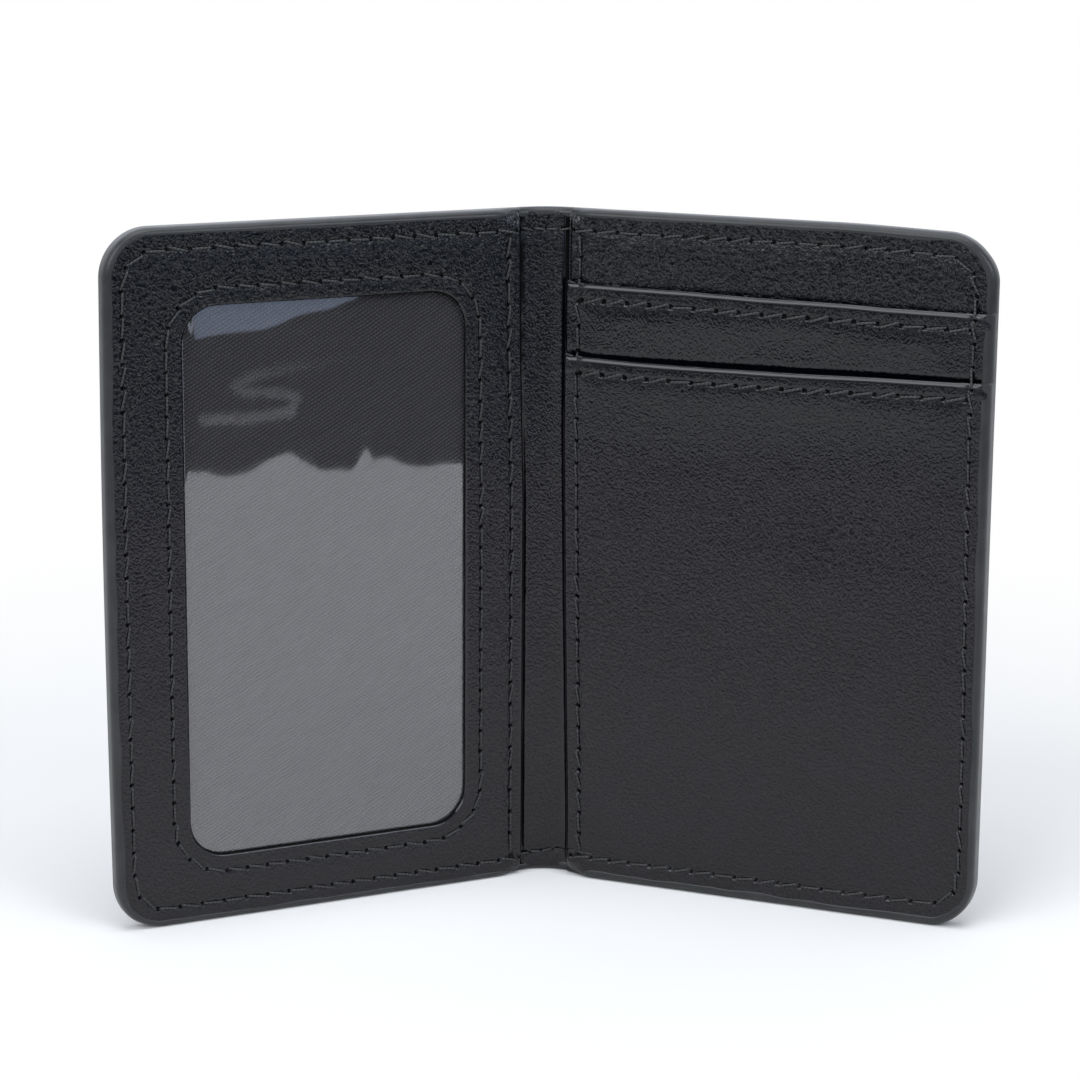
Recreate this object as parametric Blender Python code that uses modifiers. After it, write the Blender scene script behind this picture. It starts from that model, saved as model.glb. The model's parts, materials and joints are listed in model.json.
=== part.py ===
"""Slim bifold card wallet with an identity window, standing open on its lower edges.

Units are metres and +Z is up. The wallet opens towards -Y, and its spine is at the back.
The origin is at the centre of the wallet's box, on the surface it stands on.

Each leaf is built in its own flat frame, carried by an empty on its fold line:
local X runs away from the spine on the right leaf and towards it on the left one,
local Y is up, and local Z points to the inside of the wallet, with zero at the
middle of the cover leather, where the fold line lies.
"""
import math

import bmesh
import bpy
from mathutils import Euler, Vector

# Driving sizes of the wallet
WALLET_HEIGHT = 0.105
FOLD_TO_EDGE = 0.06678
SPINE_WIDTH = 0.0068
OPEN_TILT = math.radians(23.7)
CORNER_RADIUS = 0.0072

# Thickness of each ply, and the air between two of them
COVER_THICKNESS = 0.0009
BOARD_THICKNESS = 0.0004
LINING_THICKNESS = 0.00025
FILM_THICKNESS = 0.0002
WINDOW_PANEL_THICKNESS = 0.0008
BACK_PANEL_THICKNESS = 0.0005
POCKET_THICKNESS = 0.0005
STRIP_THICKNESS = 0.0004
PLY_GAP = 0.0001

# Where the plies start, measured from the fold line along the leaf
COVER_START = 0.00035
LINING_START = 0.0011
BOARD_START = 0.0025
BOARD_MARGIN = 0.0012
WINDOW_PANEL_START = 0.00095
BACK_PANEL_START = 0.00125
POCKET_START = 0.00085
SPINE_STRIP_GAP = 0.00075

# Painted edge round each leaf and across the spine
PAINT_WIDTH = 0.00075
PAINT_ROUND = 0.0004
PAINT_START = 0.0010
LEATHER_ROUND = 0.00015

# Identity window, cut in the left panel, by its margins to the fold line and the leaf's edges
WINDOW_FROM_FOLD = 0.0105
WINDOW_FROM_SIDE = 0.01158
WINDOW_FROM_BOTTOM = 0.0102
WINDOW_FROM_TOP = 0.01175
WINDOW_CORNER_RADIUS = 0.0055
FILM_MARGIN = 0.0045
WINDOW_STITCH_OFFSET = 0.0026

# Card pockets on the right leaf, counted down from the wallet's top
UPPER_MOUTH_FROM_TOP = 0.0116
TIER_STEP = 0.0104
UPPER_POCKET_FLOOR = 0.0140
MOUTH_STITCH_DROP = 0.0022

# Sewing thread and where its lines run
THREAD_RADIUS = 0.00015
THREAD_GAP = 0.00005
STITCH_FROM_TOP = 0.0033
STITCH_FROM_SIDE = 0.00265
STITCH_FROM_BOTTOM = 0.0031
STITCH_CORNER_RADIUS = 0.0048
STITCH_END = 0.0004
EDGE_STITCH_OFFSET = 0.0018
BACKSTITCH_LENGTH = 0.0042
BACKSTITCH_RISE = 0.0009

ARC_STEPS = 8
SPINE_ARC_STEPS = 12
ROUND_SEGMENTS = 2
THREAD_SIDES_RESOLUTION = 1
CUT_OVERRUN = 0.001
WELD_DISTANCE = 0.000001
MITRE_LIMIT = math.radians(40)

# Sizes worked out from the driving sizes
HALF_SPINE = SPINE_WIDTH / 2
HALF_COVER = COVER_THICKNESS / 2
PLY_INSET = PAINT_WIDTH + PLY_GAP
THREAD_WIDTH = 2 * THREAD_RADIUS
THREAD_PITCH_CLEAR = THREAD_WIDTH + PLY_GAP
THREAD_PROUD = THREAD_GAP + THREAD_RADIUS

COVER_DEPTH = -HALF_COVER
BOARD_DEPTH = HALF_COVER + PLY_GAP
LINING_DEPTH = BOARD_DEPTH + BOARD_THICKNESS + PLY_GAP
FIRST_PANEL_DEPTH = LINING_DEPTH + LINING_THICKNESS + PLY_GAP
WINDOW_PANEL_DEPTH = FIRST_PANEL_DEPTH + FILM_THICKNESS + PLY_GAP
LEFT_FACE = WINDOW_PANEL_DEPTH + WINDOW_PANEL_THICKNESS
BACK_PANEL_FACE = FIRST_PANEL_DEPTH + BACK_PANEL_THICKNESS
UPPER_POCKET_DEPTH = BACK_PANEL_FACE + PLY_GAP
UPPER_POCKET_FACE = UPPER_POCKET_DEPTH + POCKET_THICKNESS
LOWER_POCKET_DEPTH = UPPER_POCKET_FACE + PLY_GAP
RIGHT_FACE = LOWER_POCKET_DEPTH + POCKET_THICKNESS

SPINE_RADIUS = HALF_SPINE / math.sin(OPEN_TILT)
STRIP_DEPTH = HALF_COVER + PLY_GAP
STRIP_FACE = STRIP_DEPTH + STRIP_THICKNESS
SPINE_RISE = SPINE_RADIUS * (1 - math.cos(OPEN_TILT))

FRONT_REACH = FOLD_TO_EDGE * math.sin(OPEN_TILT) + RIGHT_FACE * math.cos(OPEN_TILT)
BACK_REACH = SPINE_RISE + HALF_COVER + THREAD_GAP + THREAD_WIDTH
FOLD_Y = (FRONT_REACH - BACK_REACH) / 2

UPPER_MOUTH = WALLET_HEIGHT - UPPER_MOUTH_FROM_TOP
LOWER_MOUTH = UPPER_MOUTH - TIER_STEP
STITCH_TOP = WALLET_HEIGHT - STITCH_FROM_TOP
STITCH_SIDE = FOLD_TO_EDGE - STITCH_FROM_SIDE
STITCH_BOTTOM = STITCH_FROM_BOTTOM

LEFT = -1
RIGHT = 1


def clear_scene():
    """Remove what the file starts with, so that the script runs again on its own result."""
    for obj in list(bpy.data.objects):
        bpy.data.objects.remove(obj, do_unlink=True)


def new_collection(name):
    """A collection linked to the scene."""
    group = bpy.data.collections.new(name)
    bpy.context.scene.collection.children.link(group)
    return group


def new_material(name, colour, roughness, alpha=1.0):
    """A plain Principled material."""
    material = bpy.data.materials.new(name)
    material.use_nodes = True
    shader = material.node_tree.nodes["Principled BSDF"]
    shader.inputs["Base Color"].default_value = (*colour, 1.0)
    shader.inputs["Roughness"].default_value = roughness
    shader.inputs["Metallic"].default_value = 0.0
    shader.inputs["Alpha"].default_value = alpha
    return material


def new_empty(name, location, rotation):
    """An empty that carries the pieces of one body."""
    empty = bpy.data.objects.new(name, None)
    empty.location = location
    empty.rotation_euler = rotation
    PARTS.objects.link(empty)
    return empty


def arc(centre, radius, start, end, steps):
    """Points along a circle's arc, from one angle to another, both ends included."""
    points = []
    for step in range(steps + 1):
        angle = start + (end - start) * step / steps
        points.append((centre[0] + radius * math.cos(angle), centre[1] + radius * math.sin(angle)))
    return points


def mirrored(points, side):
    """Turn points given as distance from the fold and height into a leaf's own X and Y."""
    return [(side * along, height) for along, height in points]


def leaf_outline(start, inset, low, high, round_low=True, round_high=True):
    """A panel's outline: straight at the spine, with round corners at the outer edge."""
    outer = FOLD_TO_EDGE - inset
    radius = CORNER_RADIUS - inset
    points = [(start, low)]
    if round_low:
        points += arc((outer - radius, low + radius), radius, -math.pi / 2, 0, ARC_STEPS)
    else:
        points += [(outer, low)]
    if round_high:
        points += arc((outer - radius, high - radius), radius, 0, math.pi / 2, ARC_STEPS)
    else:
        points += [(outer, high)]
    points += [(start, high)]
    return points


def rounded_rectangle(low_x, low_y, high_x, high_y, radius):
    """A rectangle's outline with four round corners."""
    quarter = math.pi / 2
    points = arc((high_x - radius, low_y + radius), radius, -quarter, 0, ARC_STEPS)
    points += arc((high_x - radius, high_y - radius), radius, 0, quarter, ARC_STEPS)
    points += arc((low_x + radius, high_y - radius), radius, quarter, 2 * quarter, ARC_STEPS)
    points += arc((low_x + radius, low_y + radius), radius, 2 * quarter, 3 * quarter, ARC_STEPS)
    return points


def window_outline(offset):
    """The window's outline, moved outwards by an offset."""
    return rounded_rectangle(
        WINDOW_FROM_FOLD - offset,
        WINDOW_FROM_BOTTOM - offset,
        FOLD_TO_EDGE - WINDOW_FROM_SIDE + offset,
        WALLET_HEIGHT - WINDOW_FROM_TOP + offset,
        WINDOW_CORNER_RADIUS + offset,
    )


def add_spline(curve, points, cyclic):
    """Add one straight-sided spline through points of two or three values."""
    spline = curve.splines.new("POLY")
    spline.points.add(len(points) - 1)
    for target, point in zip(spline.points, points):
        height = point[2] if len(point) > 2 else 0.0
        target.co = (point[0], point[1], height, 1.0)
    spline.use_cyclic_u = cyclic


def sheet(name, parent, outlines, depth, thickness, material, rounding=0.0):
    """A flat ply cut to its outlines; the second outline and later ones are holes."""
    curve = bpy.data.curves.new(name, "CURVE")
    curve.dimensions = "2D"
    curve.fill_mode = "BOTH"
    curve.extrude = thickness / 2
    for outline in outlines:
        add_spline(curve, outline, True)
    curve.materials.append(material)
    obj = bpy.data.objects.new(name, curve)
    obj.parent = parent
    obj.location = (0.0, 0.0, depth + thickness / 2)
    PARTS.objects.link(obj)
    if rounding > 0:
        round_edges(obj, rounding)
    return obj


def round_edges(obj, radius):
    """Weld the caps to the walls, then round the sharp edges."""
    weld = obj.modifiers.new("caps", "WELD")
    weld.merge_threshold = WELD_DISTANCE
    bevel = obj.modifiers.new("rounding", "BEVEL")
    bevel.width = radius
    bevel.segments = ROUND_SEGMENTS
    bevel.limit_method = "ANGLE"
    bevel.angle_limit = MITRE_LIMIT


def thread(name, parent, points, cyclic=False):
    """A line of sewing, as one thin bead of thread along its path."""
    curve = bpy.data.curves.new(name, "CURVE")
    curve.dimensions = "3D"
    curve.bevel_depth = THREAD_RADIUS
    curve.bevel_resolution = THREAD_SIDES_RESOLUTION
    curve.use_fill_caps = not cyclic
    add_spline(curve, points, cyclic)
    curve.materials.append(THREAD)
    obj = bpy.data.objects.new(name, curve)
    obj.parent = parent
    PARTS.objects.link(obj)
    return obj


def at_depth(points, depth):
    """Give flat points one depth."""
    return [(x, y, depth) for x, y in points]


def as_mesh(obj):
    """Swap a curve object for a mesh with its caps welded, so that it can be cut."""
    bpy.context.view_layer.update()
    graph = bpy.context.evaluated_depsgraph_get()
    mesh = bpy.data.meshes.new_from_object(obj.evaluated_get(graph))
    work = bmesh.new()
    work.from_mesh(mesh)
    bmesh.ops.remove_doubles(work, verts=work.verts, dist=WELD_DISTANCE)
    work.to_mesh(mesh)
    work.free()
    name = obj.name
    placed = obj.matrix_world.copy()
    parent = obj.parent
    bpy.data.objects.remove(obj, do_unlink=True)
    solid = bpy.data.objects.new(name, mesh)
    solid.parent = parent
    PARTS.objects.link(solid)
    bpy.context.view_layer.update()
    solid.matrix_world = placed
    return solid


def cut_box(name, parent, low, high):
    """A box cutter between two corners in a leaf's own frame."""
    mesh = bpy.data.meshes.new(name)
    work = bmesh.new()
    bmesh.ops.create_cube(work, size=1.0)
    size = [high[axis] - low[axis] for axis in range(3)]
    middle = [(high[axis] + low[axis]) / 2 for axis in range(3)]
    bmesh.ops.scale(work, vec=size, verts=work.verts)
    bmesh.ops.translate(work, vec=middle, verts=work.verts)
    work.to_mesh(mesh)
    work.free()
    cutter = bpy.data.objects.new(name, mesh)
    cutter.parent = parent
    cutter.hide_render = True
    cutter.display_type = "WIRE"
    CUTTERS.objects.link(cutter)
    return cutter


def cut(obj, cutter):
    """Take a cutter away from a piece."""
    boolean = obj.modifiers.new(cutter.name, "BOOLEAN")
    boolean.operation = "DIFFERENCE"
    boolean.solver = "EXACT"
    boolean.object = cutter


def panel_outline(start, high=WALLET_HEIGHT - PLY_INSET, low=PLY_INSET, round_high=True, round_low=True):
    """The outline of a ply that lies inside the painted edge."""
    return leaf_outline(start, PLY_INSET, low, high, round_low, round_high)


def paint_outline():
    """The painted edge as a U: round the outer side of a leaf, then back along its inner side."""
    outer = leaf_outline(PAINT_START, 0.0, 0.0, WALLET_HEIGHT)
    inner = leaf_outline(PAINT_START, PAINT_WIDTH, PAINT_WIDTH, WALLET_HEIGHT - PAINT_WIDTH)
    return outer + inner[::-1]


def perimeter_path(start):
    """The line of sewing round a leaf's three free sides, from the top to the bottom."""
    radius = STITCH_CORNER_RADIUS
    centre = STITCH_SIDE - radius
    points = [(start, STITCH_TOP)]
    points += arc((centre, STITCH_TOP - radius), radius, math.pi / 2, 0, ARC_STEPS)
    points += arc((centre, STITCH_BOTTOM + radius), radius, 0, -math.pi / 2, ARC_STEPS)
    points += [(start, STITCH_BOTTOM)]
    return points


def leaf_core(side, hinge, prefix):
    """Cover, stiffener, lining, painted edge and outside sewing, alike on both leaves."""
    cover = mirrored(panel_outline(COVER_START), side)
    sheet(prefix + "_cover", hinge, [cover], COVER_DEPTH, COVER_THICKNESS, LEATHER, LEATHER_ROUND)

    margin = PLY_INSET + BOARD_MARGIN
    board = leaf_outline(BOARD_START, margin, margin, WALLET_HEIGHT - margin)
    sheet(prefix + "_board", hinge, [mirrored(board, side)], BOARD_DEPTH, BOARD_THICKNESS, BOARD)

    lining = mirrored(panel_outline(LINING_START), side)
    sheet(prefix + "_lining", hinge, [lining], LINING_DEPTH, LINING_THICKNESS, LINING)

    outside = mirrored(perimeter_path(COVER_START + STITCH_END), side)
    thread(prefix + "_outside_stitch", hinge, at_depth(outside, COVER_DEPTH - THREAD_PROUD))


def left_leaf(hinge):
    """The leaf with the identity window."""
    leaf_core(LEFT, hinge, "left")
    paint = mirrored(paint_outline(), LEFT)
    sheet("left_edge_paint", hinge, [paint], COVER_DEPTH, LEFT_FACE - COVER_DEPTH, PAINT, PAINT_ROUND)

    film = mirrored(window_outline(FILM_MARGIN), LEFT)
    sheet("window_film", hinge, [film], FIRST_PANEL_DEPTH, FILM_THICKNESS, FILM)

    outlines = [
        mirrored(panel_outline(WINDOW_PANEL_START), LEFT),
        mirrored(window_outline(0.0), LEFT),
    ]
    sheet("window_panel", hinge, outlines, WINDOW_PANEL_DEPTH, WINDOW_PANEL_THICKNESS, LEATHER, LEATHER_ROUND)

    surface = LEFT_FACE + THREAD_PROUD
    window_line = mirrored(window_outline(WINDOW_STITCH_OFFSET), LEFT)
    thread("window_stitch", hinge, at_depth(window_line, surface), cyclic=True)

    perimeter = mirrored(perimeter_path(WINDOW_PANEL_START + STITCH_END), LEFT)
    thread("left_perimeter_stitch", hinge, at_depth(perimeter, surface))

    along = WINDOW_PANEL_START + EDGE_STITCH_OFFSET
    edge = [(along, STITCH_TOP - THREAD_PITCH_CLEAR), (along, STITCH_BOTTOM + THREAD_PITCH_CLEAR)]
    thread("window_panel_edge_stitch", hinge, at_depth(mirrored(edge, LEFT), surface))


def stepped_depth(height):
    """The depth of thread on the right leaf, which steps forward at each pocket's mouth."""
    if height > UPPER_MOUTH + THREAD_PITCH_CLEAR:
        return BACK_PANEL_FACE + THREAD_PROUD
    if height > LOWER_MOUTH + THREAD_PITCH_CLEAR:
        return UPPER_POCKET_FACE + THREAD_PROUD
    return RIGHT_FACE + THREAD_PROUD


def with_steps(path):
    """Add the two steps at the pocket mouths to a flat path on the right leaf."""
    stepped = []
    for before, after in zip(path, path[1:]):
        stepped.append((*before, stepped_depth(before[1])))
        for mouth in (UPPER_MOUTH, LOWER_MOUTH):
            above = mouth + 2 * THREAD_PITCH_CLEAR
            below = mouth + THREAD_PITCH_CLEAR
            if before[1] > above and after[1] < below:
                share = (before[1] - above) / (before[1] - after[1])
                along = before[0] + (after[0] - before[0]) * share
                stepped.append((along, above, stepped_depth(above)))
                stepped.append((along, below, stepped_depth(below)))
    stepped.append((*path[-1], stepped_depth(path[-1][1])))
    return stepped


def right_edge_paint(hinge):
    """The right leaf's painted edge, which steps back above each pocket's mouth."""
    outline = mirrored(paint_outline(), RIGHT)
    paint = sheet("right_edge_paint", hinge, [outline], COVER_DEPTH, RIGHT_FACE - COVER_DEPTH, PAINT)
    paint = as_mesh(paint)
    far = FOLD_TO_EDGE + CUT_OVERRUN
    top = WALLET_HEIGHT + CUT_OVERRUN
    front = RIGHT_FACE + CUT_OVERRUN
    for name, mouth, face in (
        ("upper_step_cutter", UPPER_MOUTH, BACK_PANEL_FACE),
        ("lower_step_cutter", LOWER_MOUTH, UPPER_POCKET_FACE),
    ):
        low = (-CUT_OVERRUN, mouth, face)
        cut(paint, cut_box(name, hinge, low, (far, top, front)))
    round_edges(paint, PAINT_ROUND)


def right_leaf(hinge):
    """The leaf with the two card pockets."""
    leaf_core(RIGHT, hinge, "right")
    right_edge_paint(hinge)

    back = panel_outline(BACK_PANEL_START)
    sheet("pocket_back_panel", hinge, [back], FIRST_PANEL_DEPTH, BACK_PANEL_THICKNESS, LEATHER, LEATHER_ROUND)

    upper = panel_outline(POCKET_START, UPPER_MOUTH, UPPER_POCKET_FLOOR, False, False)
    sheet("upper_card_pocket", hinge, [upper], UPPER_POCKET_DEPTH, POCKET_THICKNESS, LEATHER, LEATHER_ROUND)

    lower = panel_outline(POCKET_START, LOWER_MOUTH, round_high=False)
    sheet("lower_card_pocket", hinge, [lower], LOWER_POCKET_DEPTH, POCKET_THICKNESS, LEATHER, LEATHER_ROUND)

    thread("right_perimeter_stitch", hinge, with_steps(perimeter_path(BACK_PANEL_START + STITCH_END)))

    along = POCKET_START + EDGE_STITCH_OFFSET
    lowest = STITCH_BOTTOM + BACKSTITCH_RISE + THREAD_PITCH_CLEAR
    edge = [(along, STITCH_TOP - THREAD_PITCH_CLEAR), (along, lowest)]
    thread("pocket_edge_stitch", hinge, with_steps(edge))

    for name, mouth, face in (
        ("upper_mouth", UPPER_MOUTH, UPPER_POCKET_FACE),
        ("lower_mouth", LOWER_MOUTH, RIGHT_FACE),
    ):
        height = mouth - MOUTH_STITCH_DROP
        surface = face + THREAD_PROUD
        line = [(along + THREAD_PITCH_CLEAR, height), (STITCH_SIDE - THREAD_PITCH_CLEAR, height)]
        thread(name + "_stitch", hinge, at_depth(line, surface))
        tack = [(POCKET_START + THREAD_RADIUS, height), (along - THREAD_PITCH_CLEAR, height)]
        thread(name + "_tack", hinge, at_depth(tack, surface))

    height = STITCH_BOTTOM + BACKSTITCH_RISE
    start = POCKET_START + STITCH_END
    line = [(start, height), (start + BACKSTITCH_LENGTH, height)]
    thread("foot_backstitch", hinge, at_depth(line, RIGHT_FACE + THREAD_PROUD))


def spine_band(depth, thickness, end_gap):
    """The outline, seen from above, of a curved band that bridges the two fold lines."""
    outer = SPINE_RADIUS - depth
    inner = outer - thickness
    reach = OPEN_TILT - end_gap / SPINE_RADIUS
    middle = math.pi / 2
    points = arc((0.0, 0.0), outer, middle - reach, middle + reach, SPINE_ARC_STEPS)
    points += arc((0.0, 0.0), inner, middle + reach, middle - reach, SPINE_ARC_STEPS)
    return points


def spine_thread(name, carrier, depth, end_gap, height):
    """A short line of sewing across the spine."""
    reach = OPEN_TILT - end_gap / SPINE_RADIUS
    middle = math.pi / 2
    points = arc((0.0, 0.0), SPINE_RADIUS - depth, middle - reach, middle + reach, SPINE_ARC_STEPS)
    thread(name, carrier, at_depth(points, height))


def spine(carrier):
    """The flexible spine: outer leather, inner strip, painted ends and sewing."""
    ply_height = WALLET_HEIGHT - 2 * PLY_INSET
    cover = spine_band(COVER_DEPTH, COVER_THICKNESS, COVER_START)
    sheet("spine_cover", carrier, [cover], PLY_INSET, ply_height, LEATHER)
    strip = spine_band(STRIP_DEPTH, STRIP_THICKNESS, SPINE_STRIP_GAP)
    sheet("spine_strip", carrier, [strip], PLY_INSET, ply_height, LEATHER)

    band = spine_band(COVER_DEPTH, STRIP_FACE - COVER_DEPTH, SPINE_STRIP_GAP)
    sheet("spine_foot_paint", carrier, [band], 0.0, PAINT_WIDTH, PAINT)
    sheet("spine_head_paint", carrier, [band], WALLET_HEIGHT - PAINT_WIDTH, PAINT_WIDTH, PAINT)

    outside = COVER_DEPTH - THREAD_PROUD
    inside = STRIP_FACE + THREAD_PROUD
    outside_gap = COVER_START + STITCH_END
    inside_gap = SPINE_STRIP_GAP + STITCH_END
    spine_thread("spine_head_outside_stitch", carrier, outside, outside_gap, STITCH_TOP)
    spine_thread("spine_foot_outside_stitch", carrier, outside, outside_gap, STITCH_BOTTOM)
    spine_thread("spine_head_inside_stitch", carrier, inside, inside_gap, STITCH_TOP)
    spine_thread("spine_foot_inside_stitch", carrier, inside, inside_gap, STITCH_BOTTOM)


clear_scene()
PARTS = new_collection("bifold_wallet")
CUTTERS = new_collection("cutters")

LEATHER = new_material("black_leather", (0.014, 0.014, 0.016), 0.45)
LINING = new_material("twill_lining", (0.02, 0.02, 0.022), 0.9)
BOARD = new_material("stiffener_board", (0.45, 0.42, 0.38), 0.9)
FILM = new_material("clear_film", (0.8, 0.82, 0.84), 0.12, 0.3)
PAINT = new_material("edge_paint", (0.035, 0.035, 0.038), 0.4)
THREAD = new_material("black_thread", (0.02, 0.02, 0.022), 0.5)

upright = math.radians(90)
left_hinge = new_empty("left_fold_line", (-HALF_SPINE, FOLD_Y, 0.0), Euler((upright, 0.0, OPEN_TILT)))
right_hinge = new_empty("right_fold_line", (HALF_SPINE, FOLD_Y, 0.0), Euler((upright, 0.0, -OPEN_TILT)))
spine_centre = Vector((0.0, FOLD_Y - SPINE_RADIUS * math.cos(OPEN_TILT), 0.0))
spine_carrier = new_empty("spine_centre", spine_centre, Euler((0.0, 0.0, 0.0)))

left_leaf(left_hinge)
right_leaf(right_hinge)
spine(spine_carrier)
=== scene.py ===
"""Looks of a slim bifold card wallet with an identity window, standing open on its lower edges.

Sizes are in millimetres. A place on the wallet is given by three of them: along, the distance
from the middle of the spine, measured on the middle of the cover leather and negative on the
left leaf; height above the floor; and depth, from the middle of the cover to the inside.
On a leaf, out is the distance from its fold line.
"""
import json
import math

import bpy
import numpy as np
from mathutils import Matrix, Vector


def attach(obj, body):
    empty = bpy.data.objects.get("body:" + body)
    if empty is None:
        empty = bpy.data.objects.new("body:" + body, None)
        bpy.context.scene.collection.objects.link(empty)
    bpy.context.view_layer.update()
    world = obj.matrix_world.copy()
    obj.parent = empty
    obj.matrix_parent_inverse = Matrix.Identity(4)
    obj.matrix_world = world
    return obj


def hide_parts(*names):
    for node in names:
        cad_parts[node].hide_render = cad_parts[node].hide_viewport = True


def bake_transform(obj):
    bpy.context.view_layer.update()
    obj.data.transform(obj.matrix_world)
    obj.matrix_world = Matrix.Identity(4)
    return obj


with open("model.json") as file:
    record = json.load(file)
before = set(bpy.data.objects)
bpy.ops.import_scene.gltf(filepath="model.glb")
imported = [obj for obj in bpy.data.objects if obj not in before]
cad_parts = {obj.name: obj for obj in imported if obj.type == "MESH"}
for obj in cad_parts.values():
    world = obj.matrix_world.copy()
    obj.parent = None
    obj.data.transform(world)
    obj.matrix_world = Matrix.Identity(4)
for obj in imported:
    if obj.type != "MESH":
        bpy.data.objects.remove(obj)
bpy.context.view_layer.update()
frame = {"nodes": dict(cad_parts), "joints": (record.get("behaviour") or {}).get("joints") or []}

MM = 0.001
LEFT = -1
RIGHT = 1
SIDE_NAMES = {LEFT: "left", RIGHT: "right"}

# How the wallet stands, read from the joints of the frame
joints = {joint["name"]: joint for joint in frame["joints"]}
HALF_SPINE = joints["right_fold"]["pos_m"][0] / MM
FOLD_Y = joints["right_fold"]["pos_m"][1] / MM
OPEN_TILT = math.radians(-joints["right_fold"]["range_deg"][0])
SPINE_RADIUS = HALF_SPINE / math.sin(OPEN_TILT)
SPINE_CENTRE_Y = FOLD_Y - SPINE_RADIUS * math.cos(OPEN_TILT)
HALF_ARC = SPINE_RADIUS * OPEN_TILT

# Driving sizes
WALLET_HEIGHT = 105.0
FOLD_TO_EDGE = 66.78
CORNER_RADIUS = 7.2

# Depths of the plies, from the middle of the cover leather
COVER_BACK = -0.45
COVER_FRONT = 0.45
STRIP_BACK = 0.48
STRIP_FACE = 0.95
LINING_BACK = 1.05
LINING_FACE = 1.30
FILM_BACK = 1.40
FILM_FACE = 1.60
WINDOW_PANEL_BACK = 1.70
LEFT_FACE = 2.50
BACK_PANEL_BACK = 1.40
BACK_PANEL_FACE = 1.90
UPPER_POCKET_BACK = 2.00
UPPER_POCKET_FACE = 2.50
LOWER_POCKET_BACK = 2.60
RIGHT_FACE = 3.10

# Where the plies start, out from the fold line, and how far they run under the painted edge
WINDOW_PANEL_START = 0.95
BACK_PANEL_START = 1.25
POCKET_START = 0.85
LINING_START = 1.10
STRIP_REACH = 2.00
STRIP_DIP = {LEFT: 0.43, RIGHT: 0.38}
STRIP_DIP_WIDTH = {LEFT: 0.62, RIGHT: 0.50}
UNDER_PAINT = 0.35
LINING_INSET = 0.85
LEAST_THICKNESS = 0.04

# Painted edge
PAINT_START = 1.0
PAINT_LIP = 1.22
PAINT_ROUND = 0.42
PAINT_PROUD = 0.05
PAINT_NOSE = (0.95, 1.30)
SPINE_PAINT_REACH = 1.20

# Identity window
WINDOW_FROM_FOLD = 10.5
WINDOW_FROM_SIDE = 11.58
WINDOW_FROM_BOTTOM = 10.2
WINDOW_FROM_TOP = 11.75
WINDOW_CORNER_RADIUS = 5.5
WINDOW_STITCH_OFFSET = 2.6
FILM_MARGIN = 4.5
TWILL_RIB = 0.50
TWILL_YARN = 0.60

# Card pockets
UPPER_MOUTH = WALLET_HEIGHT - 11.6
LOWER_MOUTH = UPPER_MOUTH - 10.4
UPPER_POCKET_FLOOR = 14.0
MOUTH_STITCH_DROP = 2.5
MOUTH_ROUND = 0.49
MOUTH_RISE = 0.95
HEM_PROUD = 0.08
HEM_START = 1.75
MOUTH_STAND_OFF = 0.75
MOUTH_STAND_REACH = 7.5
LOWER_MOUTH_HOLLOW = (0.28, 0.65)
UPPER_MOUTH_HOLLOW = (0.10, 0.90)
SWELL_OUT = 41.0
SWELL_HEIGHT = 51.5
SWELL_WIDTH = 13.0
SWELL_REACH = 6.5
SWELL_RISE = 0.48

# Sewing
STITCH_PITCH = 3.5
WINDOW_STITCH_PITCH = 3.24
THREAD_RADIUS = 0.18
THREAD_DIP = 0.20
SEATED_SHARE = 0.9
STITCH_SHARE = 0.86
MOUTH_STITCH = {
    "length": 3.3, "slant": 11.0, "radius": 0.20, "rise": 0.12, "hole": (0.90, 0.34), "hole_slant": 42.0,
}
STITCH_TOP = WALLET_HEIGHT - 3.3
STITCH_SIDE = FOLD_TO_EDGE - 2.65
STITCH_BOTTOM = 3.1
STITCH_CORNER_RADIUS = 4.8
EDGE_STITCH_OFFSET = {LEFT: 1.95, RIGHT: 2.1}
SEAM_START = 0.4
UPRIGHT_SEAM_INSET = 0.6
MOUTH_SEAM_INSET = 0.5
GROOVE_DEPTH = 0.07
GROOVE_WIDTH = 0.45
PUFF_DEPTH = 0.11
PUFF_WIDTH = 1.5
LEATHER_ROUND = 0.16
SPINE_EDGE_ROUND = 0.48
WINDOW_EDGE_ROUND = 0.50
PILLOW_DEPTH = 0.12
PILLOW_WIDTH = 1.3
THIN_REACH = 3.6
THIN_HEIGHT = 2.6
THIN_SHARE = 0.75

# How strongly the leather's grain shows, by the height on the leaf
GRAIN_DEPTH = 0.125
GRAIN_BY_HEIGHT = {
    LEFT: ((25.0, 40.0, 62.0, 80.0, 95.0), (0.42, 0.55, 0.54, 0.90, 1.00)),
    RIGHT: ((25.0, 45.0, 60.0, 75.0, 89.5, 92.5), (0.44, 0.62, 0.58, 0.38, 0.30, 0.78)),
}

# Small drifts of the hand work: the plies' edges beside the spine wander out from the fold line with
# the height, the mouths rise and sag, and the right leaf's head droops a little towards its corner.
# Where a drift sets in is given by its start and its width.
EDGE_DRIFT = {
    LEFT: ((0.0, 60.0, 70.0, 84.0, 98.0), (-0.15, -0.15, 0.10, 0.45, 0.60)),
    RIGHT: ((10.0, 25.0, 40.0, 55.0, 70.0, 90.0), (0.80, 0.50, 0.20, -0.05, -0.30, -0.35)),
}
MOUTH_DRIFT = {
    LOWER_MOUTH: (
        (4.0, 12.0, 20.0, 30.0, 40.0, 50.0, 58.0, 63.0), (-0.2, -0.4, -0.4, -0.3, -0.2, 0.1, 0.3, 0.4)
    ),
    UPPER_MOUTH: ((4.0, 12.0, 20.0, 30.0, 40.0, 50.0, 60.0), (0.5, 0.45, 0.4, 0.15, 0.1, 0.0, 0.2)),
}
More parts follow.
